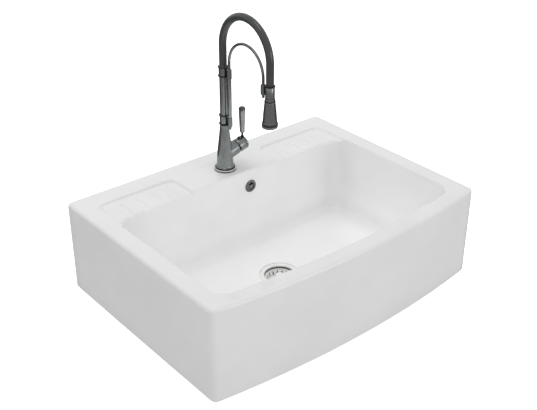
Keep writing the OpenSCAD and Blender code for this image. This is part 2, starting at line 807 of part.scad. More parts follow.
// Side of the hub: a straight sleeve, a fine groove and a rounded end
function hub_side() =
    let (groove = hub_end_s - 6, round_r = 2.8)
    concat(
        [[hub_r, hub_s - 1], [hub_r - 0.2, groove - 0.4], [hub_r - 0.8, groove],
         [hub_r - 0.8, groove + 0.4], [hub_r - 0.3, groove + 0.8]],
        arc(hub_r - 0.3 - round_r, hub_end_s - round_r, round_r, 0, 90, 6),
        [[0, hub_end_s]]
    );

module handle_hub() {
    relief_lean = atan(hub_relief/(2*hub_r));
    color(pewter) difference() {
        at_valve() rotate_extrude() polygon(concat([[0, hub_s - 1]], hub_side()));
        at_valve() translate([0, 0, hub_s - 2])
            cylinder(r = hub_r - hub_wall, h = hub_l - 9 + 2);
        at_valve() translate([0, 0, hub_s - 2]) cylinder(r = spindle_r + seat, h = hub_l - 4.8 + 2);
        at_valve() translate([-hub_r, 0, hub_s]) rotate([0, relief_lean*-1, 0])
            translate([-20, -40, -40]) cube([90, 80, 40]);
        translate([lever_x, tap_y, lever_foot_z]) cylinder(r = stem_r + seat/2, h = 30);
        at_valve() translate([-hub_r - 2, 0, stud_s]) rotate([0, 90, 0])
            cylinder(r = stud_r + seat/2, h = stud_root + 2.2);
    }
}

module hub_stud() {
    dome = 1.4;
    top = stud_root + stud_h;
    color(dark_metal) at_valve() translate([-hub_r + stud_root, 0, stud_s]) rotate([0, -90, 0])
        rotate_extrude() polygon(concat(
            [[0, 0], [stud_r, 0], [stud_r, top - dome]],
            arc(stud_r - dome, top - dome, dome, 10, 90, 6),
            [[0, top]]
        ));
}

module lever_stem() {
    color(dark_metal) translate([lever_x, tap_y, 0]) {
        translate([0, 0, lever_foot_z + seat]) cylinder(r = stem_r, h = grip_z - lever_foot_z + 10);
        translate([0, 0, grip_z - 2.6]) cylinder(r = stem_r + 1.1, h = 2.6);
    }
}

module lever_grip() {
    color(polished) translate([lever_x, tap_y, grip_z]) difference() {
        rotate_extrude() polygon([
            [0, 0], [grip_foot_r - 0.8, 0], [grip_foot_r, 0.8], [grip_foot_r, 1.8],
            [grip_foot_r - 0.5, 2.4], [grip_top_r - 0.6, grip_l - 1.4],
            [grip_top_r - 1.4, grip_l], [0, grip_l]
        ]);
        translate([0, 0, -1]) cylinder(r = stem_r + seat, h = 13);
    }
}

module grip_cap() {
    color(polished) translate([lever_x, tap_y, grip_z + grip_l]) rotate_extrude()
        polygon(concat(
            [[0, 0], [grip_top_r - 0.8, 0], [grip_top_r, 0.7]],
            [for (a = [10:16:90]) [grip_top_r*cos(a), 0.6 + (grip_top_r - 2.4)*sin(a)]]
        ));
}

// One collar round the column, with two beads and an eye for the guide rod
module collar(low_bore, low_h, high_bore) {
    difference() {
        union() {
            cylinder(r = collar_r, h = collar_h);
            for (z = [bead_r + 1, collar_h - bead_r - 1]) translate([0, 0, z])
                rotate_extrude() translate([collar_r + 0.6, 0]) circle(r = bead_r, $fn = 24);
            translate([0, -rod_gap, 1]) cylinder(r = eye_r, h = eye_h);
            translate([-2.6, -rod_gap, 4]) cube([5.2, rod_gap, eye_h - 6]);
        }
        translate([0, 0, -1]) cylinder(r = low_bore, h = low_h + 1);
        translate([0, 0, low_h]) cylinder(r = high_bore, h = collar_h);
        translate([0, -rod_gap, -1]) cylinder(r = rod_r + seat/2, h = collar_h + 2);
        translate([0, -rod_gap, 1 + eye_h/2]) rotate([90, 0, 0]) cylinder(r = 1.5, h = eye_r + 2, $fn = 24);
    }
}

module lower_collar() {
    color(pewter) at_tap(collar_z)
        collar(spigot_top_r + running, collar_h - counterbore_h + 1, riser_r + seat/2);
}

module upper_collar() {
    color(pewter) at_tap(upper_collar_z)
        collar(riser_r + seat/2, counterbore_h, hose_r + seat);
}

module riser_tube() {
    foot = collar_h - counterbore_h + 1 + seat;
    color(pewter) at_tap(collar_z)
        tube(riser_r, riser_r - 1.4, foot, collar_rise + counterbore_h - 1);
}

module rod_screws() {
    color(dark_metal) {
        for (z = [collar_z, upper_collar_z])
            translate([0, rod_rear_y - rod_r - 0.2, z + 1 + eye_h/2]) rotate([90, 0, 0])
                cylinder(r = 1.4, h = 1.9, $fn = 24);
        translate([0, rod_front_y + rod_r + 0.2, holder_z + 1 + eye_h/2]) rotate([-90, 0, 0])
            cylinder(r = 1.4, h = 1.9, $fn = 24);
    }
}

module guide_rod() {
    rear_foot = collar_z - rod_tip;
    front_foot = holder_z - front_tip;
    color(polished) {
        translate([0, rod_rear_y, rear_foot]) cylinder(r = rod_r, h = rod_arch_z - rear_foot);
        translate([0, rod_rear_y, rear_foot]) sphere(r = rod_r);
        translate([0, rod_rear_y, collar_z + 1 + eye_h])
            cylinder(r = rod_leg_r, h = collar_rise - eye_h);
        translate([0, (rod_rear_y + rod_front_y)/2, rod_arch_z]) rotate([90, 0, 90])
            rotate_extrude(angle = 180) translate([rod_arch_r, 0]) circle(r = rod_r, $fn = 48);
        translate([0, rod_front_y, front_foot]) cylinder(r = rod_r, h = rod_arch_z - front_foot);
        translate([0, rod_front_y, front_foot]) sphere(r = rod_r);
    }
}

module hose_nipple_rear() {
    color(brass_tone) at_tap(upper_collar_z + counterbore_h) difference() {
        union() {
            cylinder(r = hose_r, h = 2);
            cylinder(r = hose_bore_r - seat, h = 26);
            translate([0, 0, -6]) cylinder(r = riser_r - 1.5, h = 6.5);
        }
        translate([0, 0, -7]) cylinder(r = 3.6, h = 40);
    }
}

hose_foot_z = upper_collar_z + counterbore_h + 2;
hose_end_z = holder_z + 8;

module hose() {
    color(black_rubber) {
        at_tap() tube(hose_r, hose_bore_r, hose_foot_z, arch_z);
        translate([0, tap_y - arch_r, arch_z]) rotate([90, 0, 90])
            rotate_extrude(angle = 180) translate([arch_r, 0]) difference() {
                circle(r = hose_r);
                circle(r = hose_bore_r);
            }
        at_head() tube(hose_r, hose_bore_r, hose_end_z, arch_z);
    }
}

// Hose stub whose collar hangs inside the shell, so that the head turns on it
module hose_nipple_front() {
    foot = shell_z + head_h - hose_end_z - 8;
    color(brass_tone) at_head(hose_end_z) difference() {
        union() {
            translate([0, 0, -2]) cylinder(r = hose_r, h = 2);
            cylinder(r = hose_bore_r - seat, h = 20);
            translate([0, 0, foot]) cylinder(r = 6, h = -foot - 1);
            translate([0, 0, foot]) cylinder(r = 8.2, h = 2.8);
        }
        translate([0, 0, -30]) cylinder(r = 3.6, h = 60);
    }
}

module head_holder() {
    color(pewter) at_head(holder_z) difference() {
        union() {
            cylinder(r = collar_r, h = holder_h - 2);
            translate([0, 0, holder_h - 2.2])
                rotate_extrude() translate([collar_r - 0.9, 0]) circle(r = bead_r, $fn = 24);
            translate([0, rod_front_gap, 1]) cylinder(r = eye_r + 0.3, h = eye_h);
            translate([-2.6, 0, 4]) cube([5.2, rod_front_gap, eye_h - 6]);
        }
        translate([0, 0, -1]) cylinder(r = hose_r + seat, h = holder_h + 5);
        translate([0, rod_front_gap, -1]) cylinder(r = rod_r + seat/2, h = eye_h + 4);
        translate([0, rod_front_gap, 1 + eye_h/2]) rotate([-90, 0, 0])
            cylinder(r = 1.5, h = eye_r + 4, $fn = 24);
    }
}

module head_nut() {
    color(pewter) at_head(head_nut_z) difference() {
        rotate_extrude() polygon([
            [6 + running, 0], [head_top_r - 0.8, 0], [head_top_r, 0.8], [head_top_r, head_nut_h - 2],
            [head_top_r - 0.8, head_nut_h], [6 + running, head_nut_h]
        ]);
    }
}

module spray_shell() {
    wall = 2;
    color(pewter) at_head(shell_z) rotate_extrude() polygon([
        [head_top_r - 0.6, head_h - seat], [head_top_r, head_h - 2], [head_foot_r - 1, 2.4], [head_foot_r, 0],
        [head_foot_r - wall, 0], [head_foot_r - 1 - wall, 2.4], [head_top_r - wall, head_h - 6],
        [7, head_h - 4], [7, head_h - seat]
    ]);
}

// Rubber ring round the outlet: a flared band, a groove and a rounded lip
module spray_ring() {
    bore = 14;
    band_r = head_foot_r + 1.5;
    lip_r = band_r - 0.5;
    round_r = 3.4;
    color(black_rubber) at_head(outlet_z) rotate_extrude() polygon(concat(
        [[bore, head_ring_h - seat], [head_foot_r - 0.3, head_ring_h - seat]],
        arc(band_r - 2.4, head_lip_h + 2.8, 2.4, 50, 0, 5),
        [[band_r, head_lip_h + 1], [band_r - 1.2, head_lip_h + 0.5], [band_r - 1.2, head_lip_h]],
        arc(lip_r - round_r, head_lip_h - 1.4, round_r, 10, -80, 7),
        [[lip_r - round_r - 1, 0.6], [bore, 0.6]]
    ));
}

module nozzle_plate() {
    color(dark_metal) at_head(outlet_z) difference() {
        union() {
            translate([0, 0, 1.6]) cylinder(r = 14 - seat, h = 5);
            for (ring = [[11, nozzle_count], [7, nozzle_count - 6], [3, nozzle_count - 11]])
                for (i = [0:ring[1] - 1]) rotate([0, 0, i*360/ring[1]])
                    translate([ring[0], 0, 0.4]) cylinder(r1 = 0.7, r2 = 1.0, h = 1.4, $fn = 16);
        }
        translate([0, 0, 5]) cylinder(r = 9, h = 3);
    }
}

sink_body();
overflow_ring();
overflow_screw();
overflow_seal();
overflow_elbow();
overflow_pipe();
waste_flange();
waste_seal();
waste_gasket();
waste_trap_body();
waste_screw();
strainer_basket();
basket_knob();
basket_stopper();
tap_base_ring();
tap_base_seal();
tap_body();
tap_shank();
tap_washer();
tap_backplate();
tap_nut();
swivel_seals();
cartridge_shell();
cartridge_nut();
valve_disc_fixed();
valve_disc_moving();
cartridge_rotor();
rotor_pin();
cartridge_spindle();
handle_hub();
hub_stud();
lever_stem();
lever_grip();
grip_cap();
lower_collar();
riser_tube();
upper_collar();
rod_screws();
guide_rod();
hose_nipple_rear();
hose();
hose_nipple_front();
head_holder();
head_nut();
spray_shell();
spray_ring();
nozzle_plate();
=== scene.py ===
import json
import math

import bmesh
import bpy
from mathutils import Matrix, Vector


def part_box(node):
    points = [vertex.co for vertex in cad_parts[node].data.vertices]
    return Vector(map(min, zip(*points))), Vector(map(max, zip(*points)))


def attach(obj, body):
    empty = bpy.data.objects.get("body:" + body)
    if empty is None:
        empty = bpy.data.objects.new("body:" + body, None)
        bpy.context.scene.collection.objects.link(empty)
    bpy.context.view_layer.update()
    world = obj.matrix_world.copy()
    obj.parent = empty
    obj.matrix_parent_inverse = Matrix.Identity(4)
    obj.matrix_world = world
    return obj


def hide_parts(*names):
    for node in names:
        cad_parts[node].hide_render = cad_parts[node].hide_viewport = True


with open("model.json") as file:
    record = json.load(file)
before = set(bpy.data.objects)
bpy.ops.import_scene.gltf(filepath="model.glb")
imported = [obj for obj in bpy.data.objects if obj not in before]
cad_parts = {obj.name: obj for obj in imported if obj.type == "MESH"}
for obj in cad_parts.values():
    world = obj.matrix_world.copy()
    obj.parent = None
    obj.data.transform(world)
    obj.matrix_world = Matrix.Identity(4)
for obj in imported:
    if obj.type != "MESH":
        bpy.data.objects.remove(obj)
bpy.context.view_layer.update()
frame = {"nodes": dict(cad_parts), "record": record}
nodes = frame["nodes"]

# Studio
# A pale floor under soft white light, and a camera that looks down on the sink from the front
# left, with a long lens. The floor glows white to the camera, and in reflections it shows a
# painted gradient, darker behind the sink and lighter towards the front left.
MM = 0.001

bpy.ops.object.select_all(action="DESELECT")
floor_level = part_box("waste_trap_body")[0].z - 1 * MM
bpy.ops.mesh.primitive_plane_add(size=30, location=(0, 0, floor_level))
studio_floor = bpy.context.object
studio_floor.name = "studio_floor"

floor_paint = bpy.data.materials.new("studio_floor_paint")
floor_paint.use_nodes = True
floor_nodes = floor_paint.node_tree.nodes
floor_links = floor_paint.node_tree.links
paint = floor_nodes["Principled BSDF"]
paint.inputs["Base Color"].default_value = (0.9, 0.9, 0.9, 1)
paint.inputs["Roughness"].default_value = 0.9
floor_glow = floor_nodes.new("ShaderNodeEmission")
floor_glow.inputs["Strength"].default_value = 0.82
lit_floor = floor_nodes.new("ShaderNodeAddShader")
floor_links.new(paint.outputs["BSDF"], lit_floor.inputs[0])
floor_links.new(floor_glow.outputs["Emission"], lit_floor.inputs[1])
floor_place = floor_nodes.new("ShaderNodeTexCoord")
towards_front = floor_nodes.new("ShaderNodeVectorMath")
towards_front.operation = "DOT_PRODUCT"
towards_front.inputs[1].default_value = (-0.64, -0.77, 0)
floor_links.new(floor_place.outputs["Object"], towards_front.inputs[0])
# Painted reflection: the floor that the metal mirrors is darker behind the sink and lighter towards the
# front left.
fall_off = floor_nodes.new("ShaderNodeMapRange")
fall_off.interpolation_type = "SMOOTHSTEP"
fall_off.inputs["From Min"].default_value = -0.9
fall_off.inputs["From Max"].default_value = 0.9
fall_off.inputs["To Min"].default_value = 0.1
fall_off.inputs["To Max"].default_value = 0.37
floor_links.new(towards_front.outputs["Value"], fall_off.inputs["Value"])
dim_floor = floor_nodes.new("ShaderNodeEmission")
floor_links.new(fall_off.outputs["Result"], dim_floor.inputs["Strength"])
floor_rays = floor_nodes.new("ShaderNodeLightPath")
seen_floor = floor_nodes.new("ShaderNodeMixShader")
floor_links.new(floor_rays.outputs["Is Camera Ray"], seen_floor.inputs["Fac"])
floor_links.new(paint.outputs["BSDF"], seen_floor.inputs[1])
floor_links.new(lit_floor.outputs["Shader"], seen_floor.inputs[2])
mirrored_floor = floor_nodes.new("ShaderNodeMixShader")
floor_links.new(floor_rays.outputs["Is Glossy Ray"], mirrored_floor.inputs["Fac"])
floor_links.new(seen_floor.outputs["Shader"], mirrored_floor.inputs[1])
floor_links.new(dim_floor.outputs["Emission"], mirrored_floor.inputs[2])
floor_links.new(mirrored_floor.outputs["Shader"], floor_nodes["Material Output"].inputs["Surface"])
studio_floor.data.materials.append(floor_paint)

world = bpy.data.worlds.new("studio_air")
bpy.context.scene.world = world
world.use_nodes = True
air = world.node_tree
sky = air.nodes["Background"]
sky.inputs["Color"].default_value = (1.0, 1.0, 1.0, 1)
sky.inputs["Strength"].default_value = 0.66
backdrop = air.nodes.new("ShaderNodeBackground")
backdrop.inputs["Color"].default_value = (1.0, 1.0, 1.0, 1)
backdrop.inputs["Strength"].default_value = 1.1
air_rays = air.nodes.new("ShaderNodeLightPath")
seen_air = air.nodes.new("ShaderNodeMixShader")
air.links.new(air_rays.outputs["Is Camera Ray"], seen_air.inputs["Fac"])
air.links.new(sky.outputs["Background"], seen_air.inputs[1])
air.links.new(backdrop.outputs["Background"], seen_air.inputs[2])
air.links.new(seen_air.outputs["Shader"], air.nodes["World Output"].inputs["Surface"])


def soft_box(name, spot, target, size, power):
    """A rectangular studio light at one spot that faces another."""
    lamp = bpy.data.lights.new(name, "AREA")
    lamp.shape = "RECTANGLE"
    lamp.size, lamp.size_y = size
    lamp.energy = power
    holder = bpy.data.objects.new(name, lamp)
    bpy.context.collection.objects.link(holder)
    holder.location = spot
    holder.rotation_euler = (Vector(target) - Vector(spot)).to_track_quat("-Z", "Y").to_euler()
    return holder


rear_lamp = soft_box("light_rear", (0.1, 1.1, 1.7), (0, 0.05, 0.2), (1.8, 0.9), 7.5)
rear_lamp.visible_glossy = False
soft_box("light_front", (0.9, -2.6, 0.7), (0, -0.2, 0.1), (1.4, 1.0), 7)
soft_box("light_overhead", (-0.2, -0.1, 2.5), (0, -0.1, 0.2), (0.8, 0.8), 4.5)
for name, spot, target, size, power in (
    ("light_bowl_down", (0, -0.15, 0.11), (0, -0.15, 0.0), (0.64, 0.36), 0.1),
    ("light_bowl_up", (0, -0.15, 0.11), (0, -0.15, 0.3), (0.64, 0.36), 0.12),
    ("light_bowl_rear", (0, -0.03, 0.11), (0, 0.05, 0.026), (0.6, 0.04), 0.03),
    ("light_bowl_front", (0, -0.26, 0.11), (0, -0.34, 0.026), (0.6, 0.04), 0.03),
    ("light_bowl_left", (-0.27, -0.15, 0.11), (-0.35, -0.15, 0.026), (0.3, 0.04), 0.015),
    ("light_bowl_right", (0.27, -0.15, 0.11), (0.35, -0.15, 0.026), (0.3, 0.04), 0.015),
):
    fill = soft_box(name, spot, target, size, power)
    fill.visible_glossy = False
    fill.visible_camera = False

lens_data = bpy.data.cameras.new("studio_camera")
camera = bpy.data.objects.new("studio_camera", lens_data)
bpy.context.collection.objects.link(camera)
bpy.context.scene.camera = camera
lens_data.sensor_width = 36
lens_data.lens = 62.95
lens_data.clip_start = 0.05
lens_data.clip_end = 60
across = Vector((0.7662086, -0.6425853, 0.0029229))
upward = Vector((0.3144112, 0.3788580, 0.8704092))
back = across.cross(upward)
camera.matrix_world = Matrix.Translation((-1.27826, -1.58746, 1.32414)) @ Matrix(
    (
        (across.x, upward.x, back.x),
        (across.y, upward.y, back.y),
        (across.z, upward.z, back.z),
    )
).to_4x4()
bpy.context.scene.view_settings.view_transform = "Standard"

# Ceramic sink
# One fired-clay casting under a thick white glaze: a bowed front, a deep bowl, and a ledge with
# a tap deck between two drainers of shallow channels. The glaze rounds every edge, and the
# underside that stands in the kiln is bare clay.
SINK_HALF_W, SINK_H = 400, 235
SINK_FRONT, SINK_REAR = -400, 200
SINK_CORNER = 12
BOW = 30
BOW_R = (SINK_HALF_W**2 + BOW**2) / (2 * BOW)
BOW_Y = SINK_FRONT + BOW_R
BOWL_HALF_W = 354
BOWL_REAR = 55
FRONT_WALL = 41
BOWL_FRONT_R = BOW_R - FRONT_WALL
BOWL_CORNER = 38
FLOOR_Z = 24
FLOOR_FILLET = 22
MOUTH_R = 6
RIM_R = 9
FOOT_R = 4
WALL_LEAN = math.tan(math.radians(1.5))
DECK_HALF_W, DECK_REAR, DECK_DROP, DECK_EDGE = 134, 145, 1.2, 6
DRAINER_HALF_W, DRAINER_REAR, DRAINER_R, DRAINER_DROP = 352, 143, 25, 5.5
CHANNEL_REAR, CHANNEL_HALF_W, CHANNEL_R, CHANNEL_DROP = 121, 12, 10, 2.2
DECK_SLOPE, DRAINER_SLOPE, CHANNEL_SLOPE = 3, 4.5, 4
FIRST_CHANNEL, CHANNEL_PITCH, CHANNEL_COUNT = 175, 44, 4
CHANNELS = [FIRST_CHANNEL + CHANNEL_PITCH * k for k in range(CHANNEL_COUNT)]
WIDEST_RIM = 260


def sweep(start, end, count):
    """Even steps from a start, short of the end."""
    return [start + (end - start) * k / count for k in range(count)]


def quarter(steps):
    """The angles of a quarter turn, from 0 to 90 degrees."""
    return [math.radians(90 * k / steps) for k in range(steps + 1)]


def plan_arc(cx, cy, r, start, end, count):
    """Points of an arc in plan, each with its outward direction in degrees."""
    return [
        ((cx + r * math.cos(math.radians(a)), cy + r * math.sin(math.radians(a))), a)
        for a in sweep(start, end, count)
    ]


def bowl_outline(inset, lean):
    """Points round the bowl with their outward directions, anticlockwise from the rear right."""
    half_w = BOWL_HALF_W - lean
    front_r = BOWL_FRONT_R - lean
    r = BOWL_CORNER - inset
    cx = half_w - BOWL_CORNER
    rear_cy = BOWL_REAR - BOWL_CORNER
    front_cy = BOW_Y - math.sqrt((front_r - BOWL_CORNER) ** 2 - cx**2)
    turn = math.degrees(math.asin(cx / (front_r - BOWL_CORNER)))
    points = [((x, BOWL_REAR - inset), 90) for x in sweep(cx, -cx, 318)]
    points += plan_arc(-cx, rear_cy, r, 90, 180, 36)
    points += [((-half_w + inset, y), 180) for y in sweep(rear_cy, front_cy, 36)]
    points += plan_arc(-cx, front_cy, r, 180, 270 - turn, 24)
    points += plan_arc(0, BOW_Y, front_r - inset, 270 - turn, 270 + turn, 72)
    points += plan_arc(cx, front_cy, r, 270 + turn, 360, 24)
    points += [((half_w - inset, y), 0) for y in sweep(front_cy, rear_cy, 36)]
    points += plan_arc(cx, rear_cy, r, 0, 90, 36)
    return points


def outside(x, y):
    """How far a point is outside the sink's plan; negative within it."""
    a = abs(x) - SINK_HALF_W + SINK_CORNER
    b = max(y - SINK_REAR, math.hypot(x, y - BOW_Y) - BOW_R) + SINK_CORNER
    return min(max(a, b), 0) + math.hypot(max(a, 0), max(b, 0)) - SINK_CORNER


def soft_step(distance, width):
    """0 outside a sunk shape, 1 well inside it, and a smooth glazed slope between."""
    t = min(max(-distance / width, 0), 1)
    return t * t * (3 - 2 * t)


def sunk(x, y, centre, half_w, rear, corner):
    """Distance outside a shape with two rounded rear corners and an open front."""
    a = abs(x - centre) - half_w + corner
    b = y - rear + corner
    return min(max(a, b), 0) + math.hypot(max(a, 0), max(b, 0)) - corner


def ledge_height(x, y):
    """Height of the glaze on the rim and the ledge."""
    side = abs(x)
    if y < 0:
        return SINK_H
    centre = (DECK_HALF_W + DRAINER_HALF_W) / 2
    sunk_by = sunk(side, y, centre, DRAINER_HALF_W - centre, DRAINER_REAR, DRAINER_R)
    drainer = soft_step(sunk_by, DRAINER_SLOPE)
    deck = soft_step(max(side - DECK_HALF_W - DECK_EDGE, y - DECK_REAR), DECK_SLOPE)
    channel = 0
    for centre in CHANNELS:
        sunk_by = sunk(side, y, centre, CHANNEL_HALF_W, CHANNEL_REAR, CHANNEL_R)
        channel = max(channel, soft_step(sunk_by, CHANNEL_SLOPE))
    drop = max(DRAINER_DROP * drainer, DECK_DROP * deck)
    return SINK_H - drop - CHANNEL_DROP * channel * drainer


def reach(point, direction, level):
    """Distance from a point to where the plan's edge is `level` away, along a direction."""
    near, far = 0, WIDEST_RIM
    for _ in range(34):
        middle = (near + far) / 2
        if outside(point[0] + direction[0] * middle, point[1] + direction[1] * middle) > level:
            far = middle
        else:
            near = middle
    return near


mouth = bowl_outline(0, 0)
ways = [(math.cos(math.radians(a)), math.sin(math.radians(a))) for _, a in mouth]
rings = []
for a in quarter(8):
    z = FLOOR_Z + FLOOR_FILLET * (1 - math.cos(a))
    lean = (SINK_H - z) * WALL_LEAN
    rings.append([(p[0], p[1], z) for p, _ in bowl_outline(FLOOR_FILLET * (1 - math.sin(a)), lean)])
for k in range(1, 12):
    share = k / 12
    low_z = FLOOR_Z + FLOOR_FILLET
    lean = (SINK_H - MOUTH_R - low_z) * (1 - share) * WALL_LEAN
    ring = []
    for (p, _), (m, _) in zip(bowl_outline(0, lean), mouth):
        top = ledge_height(*m) - MOUTH_R
        ring.append((p[0], p[1], low_z + (top - low_z) * share))
    rings.append(ring)
for a in quarter(8):
    ring = []
    for (p, _), (dx, dy) in zip(mouth, ways):
        x = p[0] + dx * MOUTH_R * (1 - math.cos(a))
        y = p[1] + dy * MOUTH_R * (1 - math.cos(a))
        ring.append((x, y, ledge_height(x, y) - MOUTH_R * (1 - math.sin(a))))
    rings.append(ring)
rim_reach = [reach(p, way, -RIM_R) for (p, _), way in zip(mouth, ways)]
for k in range(1, 58):
    ring = []
    for (p, _), (dx, dy), limit in zip(mouth, ways, rim_reach):
        d = MOUTH_R + (limit - MOUTH_R) * k / 58
        x, y = p[0] + dx * d, p[1] + dy * d
        ring.append((x, y, ledge_height(x, y)))
    rings.append(ring)
for a in quarter(8):
    level = -RIM_R * (1 - math.sin(a))
    z = SINK_H - RIM_R * (1 - math.cos(a))
    ring = []
    for (p, _), (dx, dy) in zip(mouth, ways):
        d = reach(p, (dx, dy), level)
        ring.append((p[0] + dx * d, p[1] + dy * d, z))
    rings.append(ring)
edge = [(x, y) for x, y, _ in rings[-1]]
for k in range(1, 8):
    rings.append([(x, y, SINK_H - RIM_R - (SINK_H - RIM_R - FOOT_R) * k / 8) for x, y in edge])
for a in quarter(5):
    level = -FOOT_R * (1 - math.cos(a))
    z = FOOT_R * (1 - math.sin(a))
    ring = []
    for (p, _), way in zip(mouth, ways):
        d = reach(p, way, level)
        ring.append((p[0] + way[0] * d, p[1] + way[1] * d, z))
    rings.append(ring)

count = len(mouth)
glazed = bmesh.new()
rows = [[glazed.verts.new([c * MM for c in point]) for point in ring] for ring in rings]
for inner, outer in zip(rows, rows[1:]):
    for j in range(count):
        k = (j + 1) % count
        glazed.faces.new((inner[j], inner[k], outer[k], outer[j]))
glazed.faces.new(rows[0][::-1])
glazed.faces.new(rows[-1])
bmesh.ops.recalc_face_normals(glazed, faces=glazed.faces)
sink_mesh = bpy.data.meshes.new("sink")
glazed.to_mesh(sink_mesh)
glazed.free()
sink = bpy.data.objects.new("sink", sink_mesh)
bpy.context.collection.objects.link(sink)

TAP_Y, TAP_HOLE_R = 102, 17.5
WASTE_Y, WASTE_HOLE_R = -113, 43
FLANGE_SEAT_R, FLANGE_SEAT_Z = 50.5, 21.6
GASKET_SEAT_R, GASKET_SEAT_Z = 59.5, 7.5
OVERFLOW_X, OVERFLOW_Z, OVERFLOW_HOLE_R = 43.5, 188, 12
SERVICE_W, SERVICE_D, SERVICE_H = 700, 99, 250.3
SERVICE_Y, SERVICE_Z, SERVICE_CORNER = 127.5, 85.15, 8


def pick(piece):
    """Makes a piece the only one that the next tool works on."""
    bpy.ops.object.select_all(action="DESELECT")
    piece.select_set(True)
    bpy.context.view_layer.objects.active = piece


def cut_or_weld(piece, tool, operation):
    """Cuts a tool out of a piece, or welds it on, and takes the tool away."""
    pick(piece)
    joined = piece.modifiers.new("joined", "BOOLEAN")
    joined.operation = operation
    joined.solver = "EXACT"
    joined.object = tool
    bpy.ops.object.modifier_apply(modifier=joined.name)
    bpy.data.objects.remove(tool)


def round_cutter(radius, place, length, turn=(0, 0, 0)):
    """A round bar that drills a hole, given by its middle and its length."""
    bpy.ops.object.select_all(action="DESELECT")
    bpy.ops.mesh.primitive_cylinder_add(
        vertices=96, radius=radius * MM, depth=length * MM,
        location=[c * MM for c in place], rotation=turn,
    )
    return bpy.context.object


cutters = [
    round_cutter(WASTE_HOLE_R, (0, WASTE_Y, 5), 60),
    round_cutter(FLANGE_SEAT_R, (0, WASTE_Y, FLANGE_SEAT_Z + 10), 20),
    round_cutter(GASKET_SEAT_R, (0, WASTE_Y, GASKET_SEAT_Z - 5), 10),
    round_cutter(TAP_HOLE_R, (0, TAP_Y, 220), 60),
    round_cutter(OVERFLOW_HOLE_R, (OVERFLOW_X, 66, OVERFLOW_Z), 40, (math.pi / 2, 0, 0)),
]
bpy.ops.object.select_all(action="DESELECT")
bpy.ops.mesh.primitive_cube_add(size=1, location=(0, SERVICE_Y * MM, SERVICE_Z * MM))
service_cutter = bpy.context.object
service_cutter.scale = (SERVICE_W * MM, SERVICE_D * MM, SERVICE_H * MM)
bpy.ops.object.transform_apply(location=False, rotation=False, scale=True)
bpy.ops.object.mode_set(mode="EDIT")
bpy.ops.mesh.select_all(action="SELECT")
bpy.ops.mesh.bevel(offset=SERVICE_CORNER * MM, segments=5, affect="EDGES")
bpy.ops.object.mode_set(mode="OBJECT")
cutters.append(service_cutter)
for cutter in cutters:
    cut_or_weld(sink, cutter, "DIFFERENCE")
pick(sink)
bpy.ops.object.shade_smooth_by_angle(angle=math.radians(35))


def noise(tree, where, scale, detail):
    """A cloudy value over the surface."""
    cloudy = tree.nodes.new("ShaderNodeTexNoise")
    cloudy.inputs["Scale"].default_value = scale
    cloudy.inputs["Detail"].default_value = detail
    tree.links.new(where, cloudy.inputs["Vector"])
    return cloudy.outputs["Fac"]


def spread(tree, value, from_min, from_max, to_min=0.0, to_max=1.0):
    """Spreads a part of a value's range over another range."""
    spreader = tree.nodes.new("ShaderNodeMapRange")
    spreader.inputs["From Min"].default_value = from_min
    spreader.inputs["From Max"].default_value = from_max
    spreader.inputs["To Min"].default_value = to_min
    spreader.inputs["To Max"].default_value = to_max
    tree.links.new(value, spreader.inputs["Value"])
    return spreader.outputs["Result"]


def tint(tree, mask, under, over):
    """Lays a colour over another where a mask says so; each is a socket or three values."""
    mixer = tree.nodes.new("ShaderNodeMix")
    mixer.data_type = "RGBA"
    tree.links.new(mask, mixer.inputs["Factor"])
    for side, colour in (("A", under), ("B", over)):
        if isinstance(colour, tuple):
            mixer.inputs[side].default_value = (*colour, 1)
        else:
            tree.links.new(colour, mixer.inputs[side])
    return mixer.outputs["Result"]


def relief(tree, height, strength, distance):
    """Gives a finish a faint relief from a height."""
    bump = tree.nodes.new("ShaderNodeBump")
    bump.inputs["Strength"].default_value = strength
    bump.inputs["Distance"].default_value = distance
    tree.links.new(height, bump.inputs["Height"])
    tree.links.new(bump.outputs["Normal"], tree.nodes["Principled BSDF"].inputs["Normal"])


glaze = bpy.data.materials.new("white_glaze")
glaze.use_nodes = True
tree = glaze.node_tree
shader = tree.nodes["Principled BSDF"]
shader.inputs["IOR"].default_value = 1.52
shader.inputs["Coat Roughness"].default_value = 0.04
shader.inputs["Coat Weight"].default_value = 0.35
glaze_place = tree.nodes.new("ShaderNodeTexCoord").outputs["Object"]
tone = tree.nodes.new("ShaderNodeValToRGB")
tone.color_ramp.elements[0].position = 0.35
tone.color_ramp.elements[0].color = (0.885, 0.888, 0.885, 1)
tone.color_ramp.elements[1].position = 0.65
tone.color_ramp.elements[1].color = (0.915, 0.917, 0.912, 1)
tree.links.new(noise(tree, glaze_place, 9, 3), tone.inputs["Fac"])
specks = spread(tree, noise(tree, glaze_place, 420, 1), 0.79, 0.86, 0, 0.18)
specked = tint(tree, specks, tone.outputs["Color"], (0.55, 0.53, 0.49))
height = tree.nodes.new("ShaderNodeSeparateXYZ")
tree.links.new(glaze_place, height.inputs["Vector"])
bare = spread(tree, height.outputs["Z"], 3.2 * MM, 2.2 * MM)
tree.links.new(tint(tree, bare, specked, (0.66, 0.60, 0.50)), shader.inputs["Base Color"])
tree.links.new(spread(tree, bare, 0, 1, 0.13, 0.8), shader.inputs["Roughness"])
relief(tree, noise(tree, glaze_place, 22, 1), 0.05, 0.004)
sink.data.materials.append(glaze)
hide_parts("sink_body")
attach(sink, "sink")

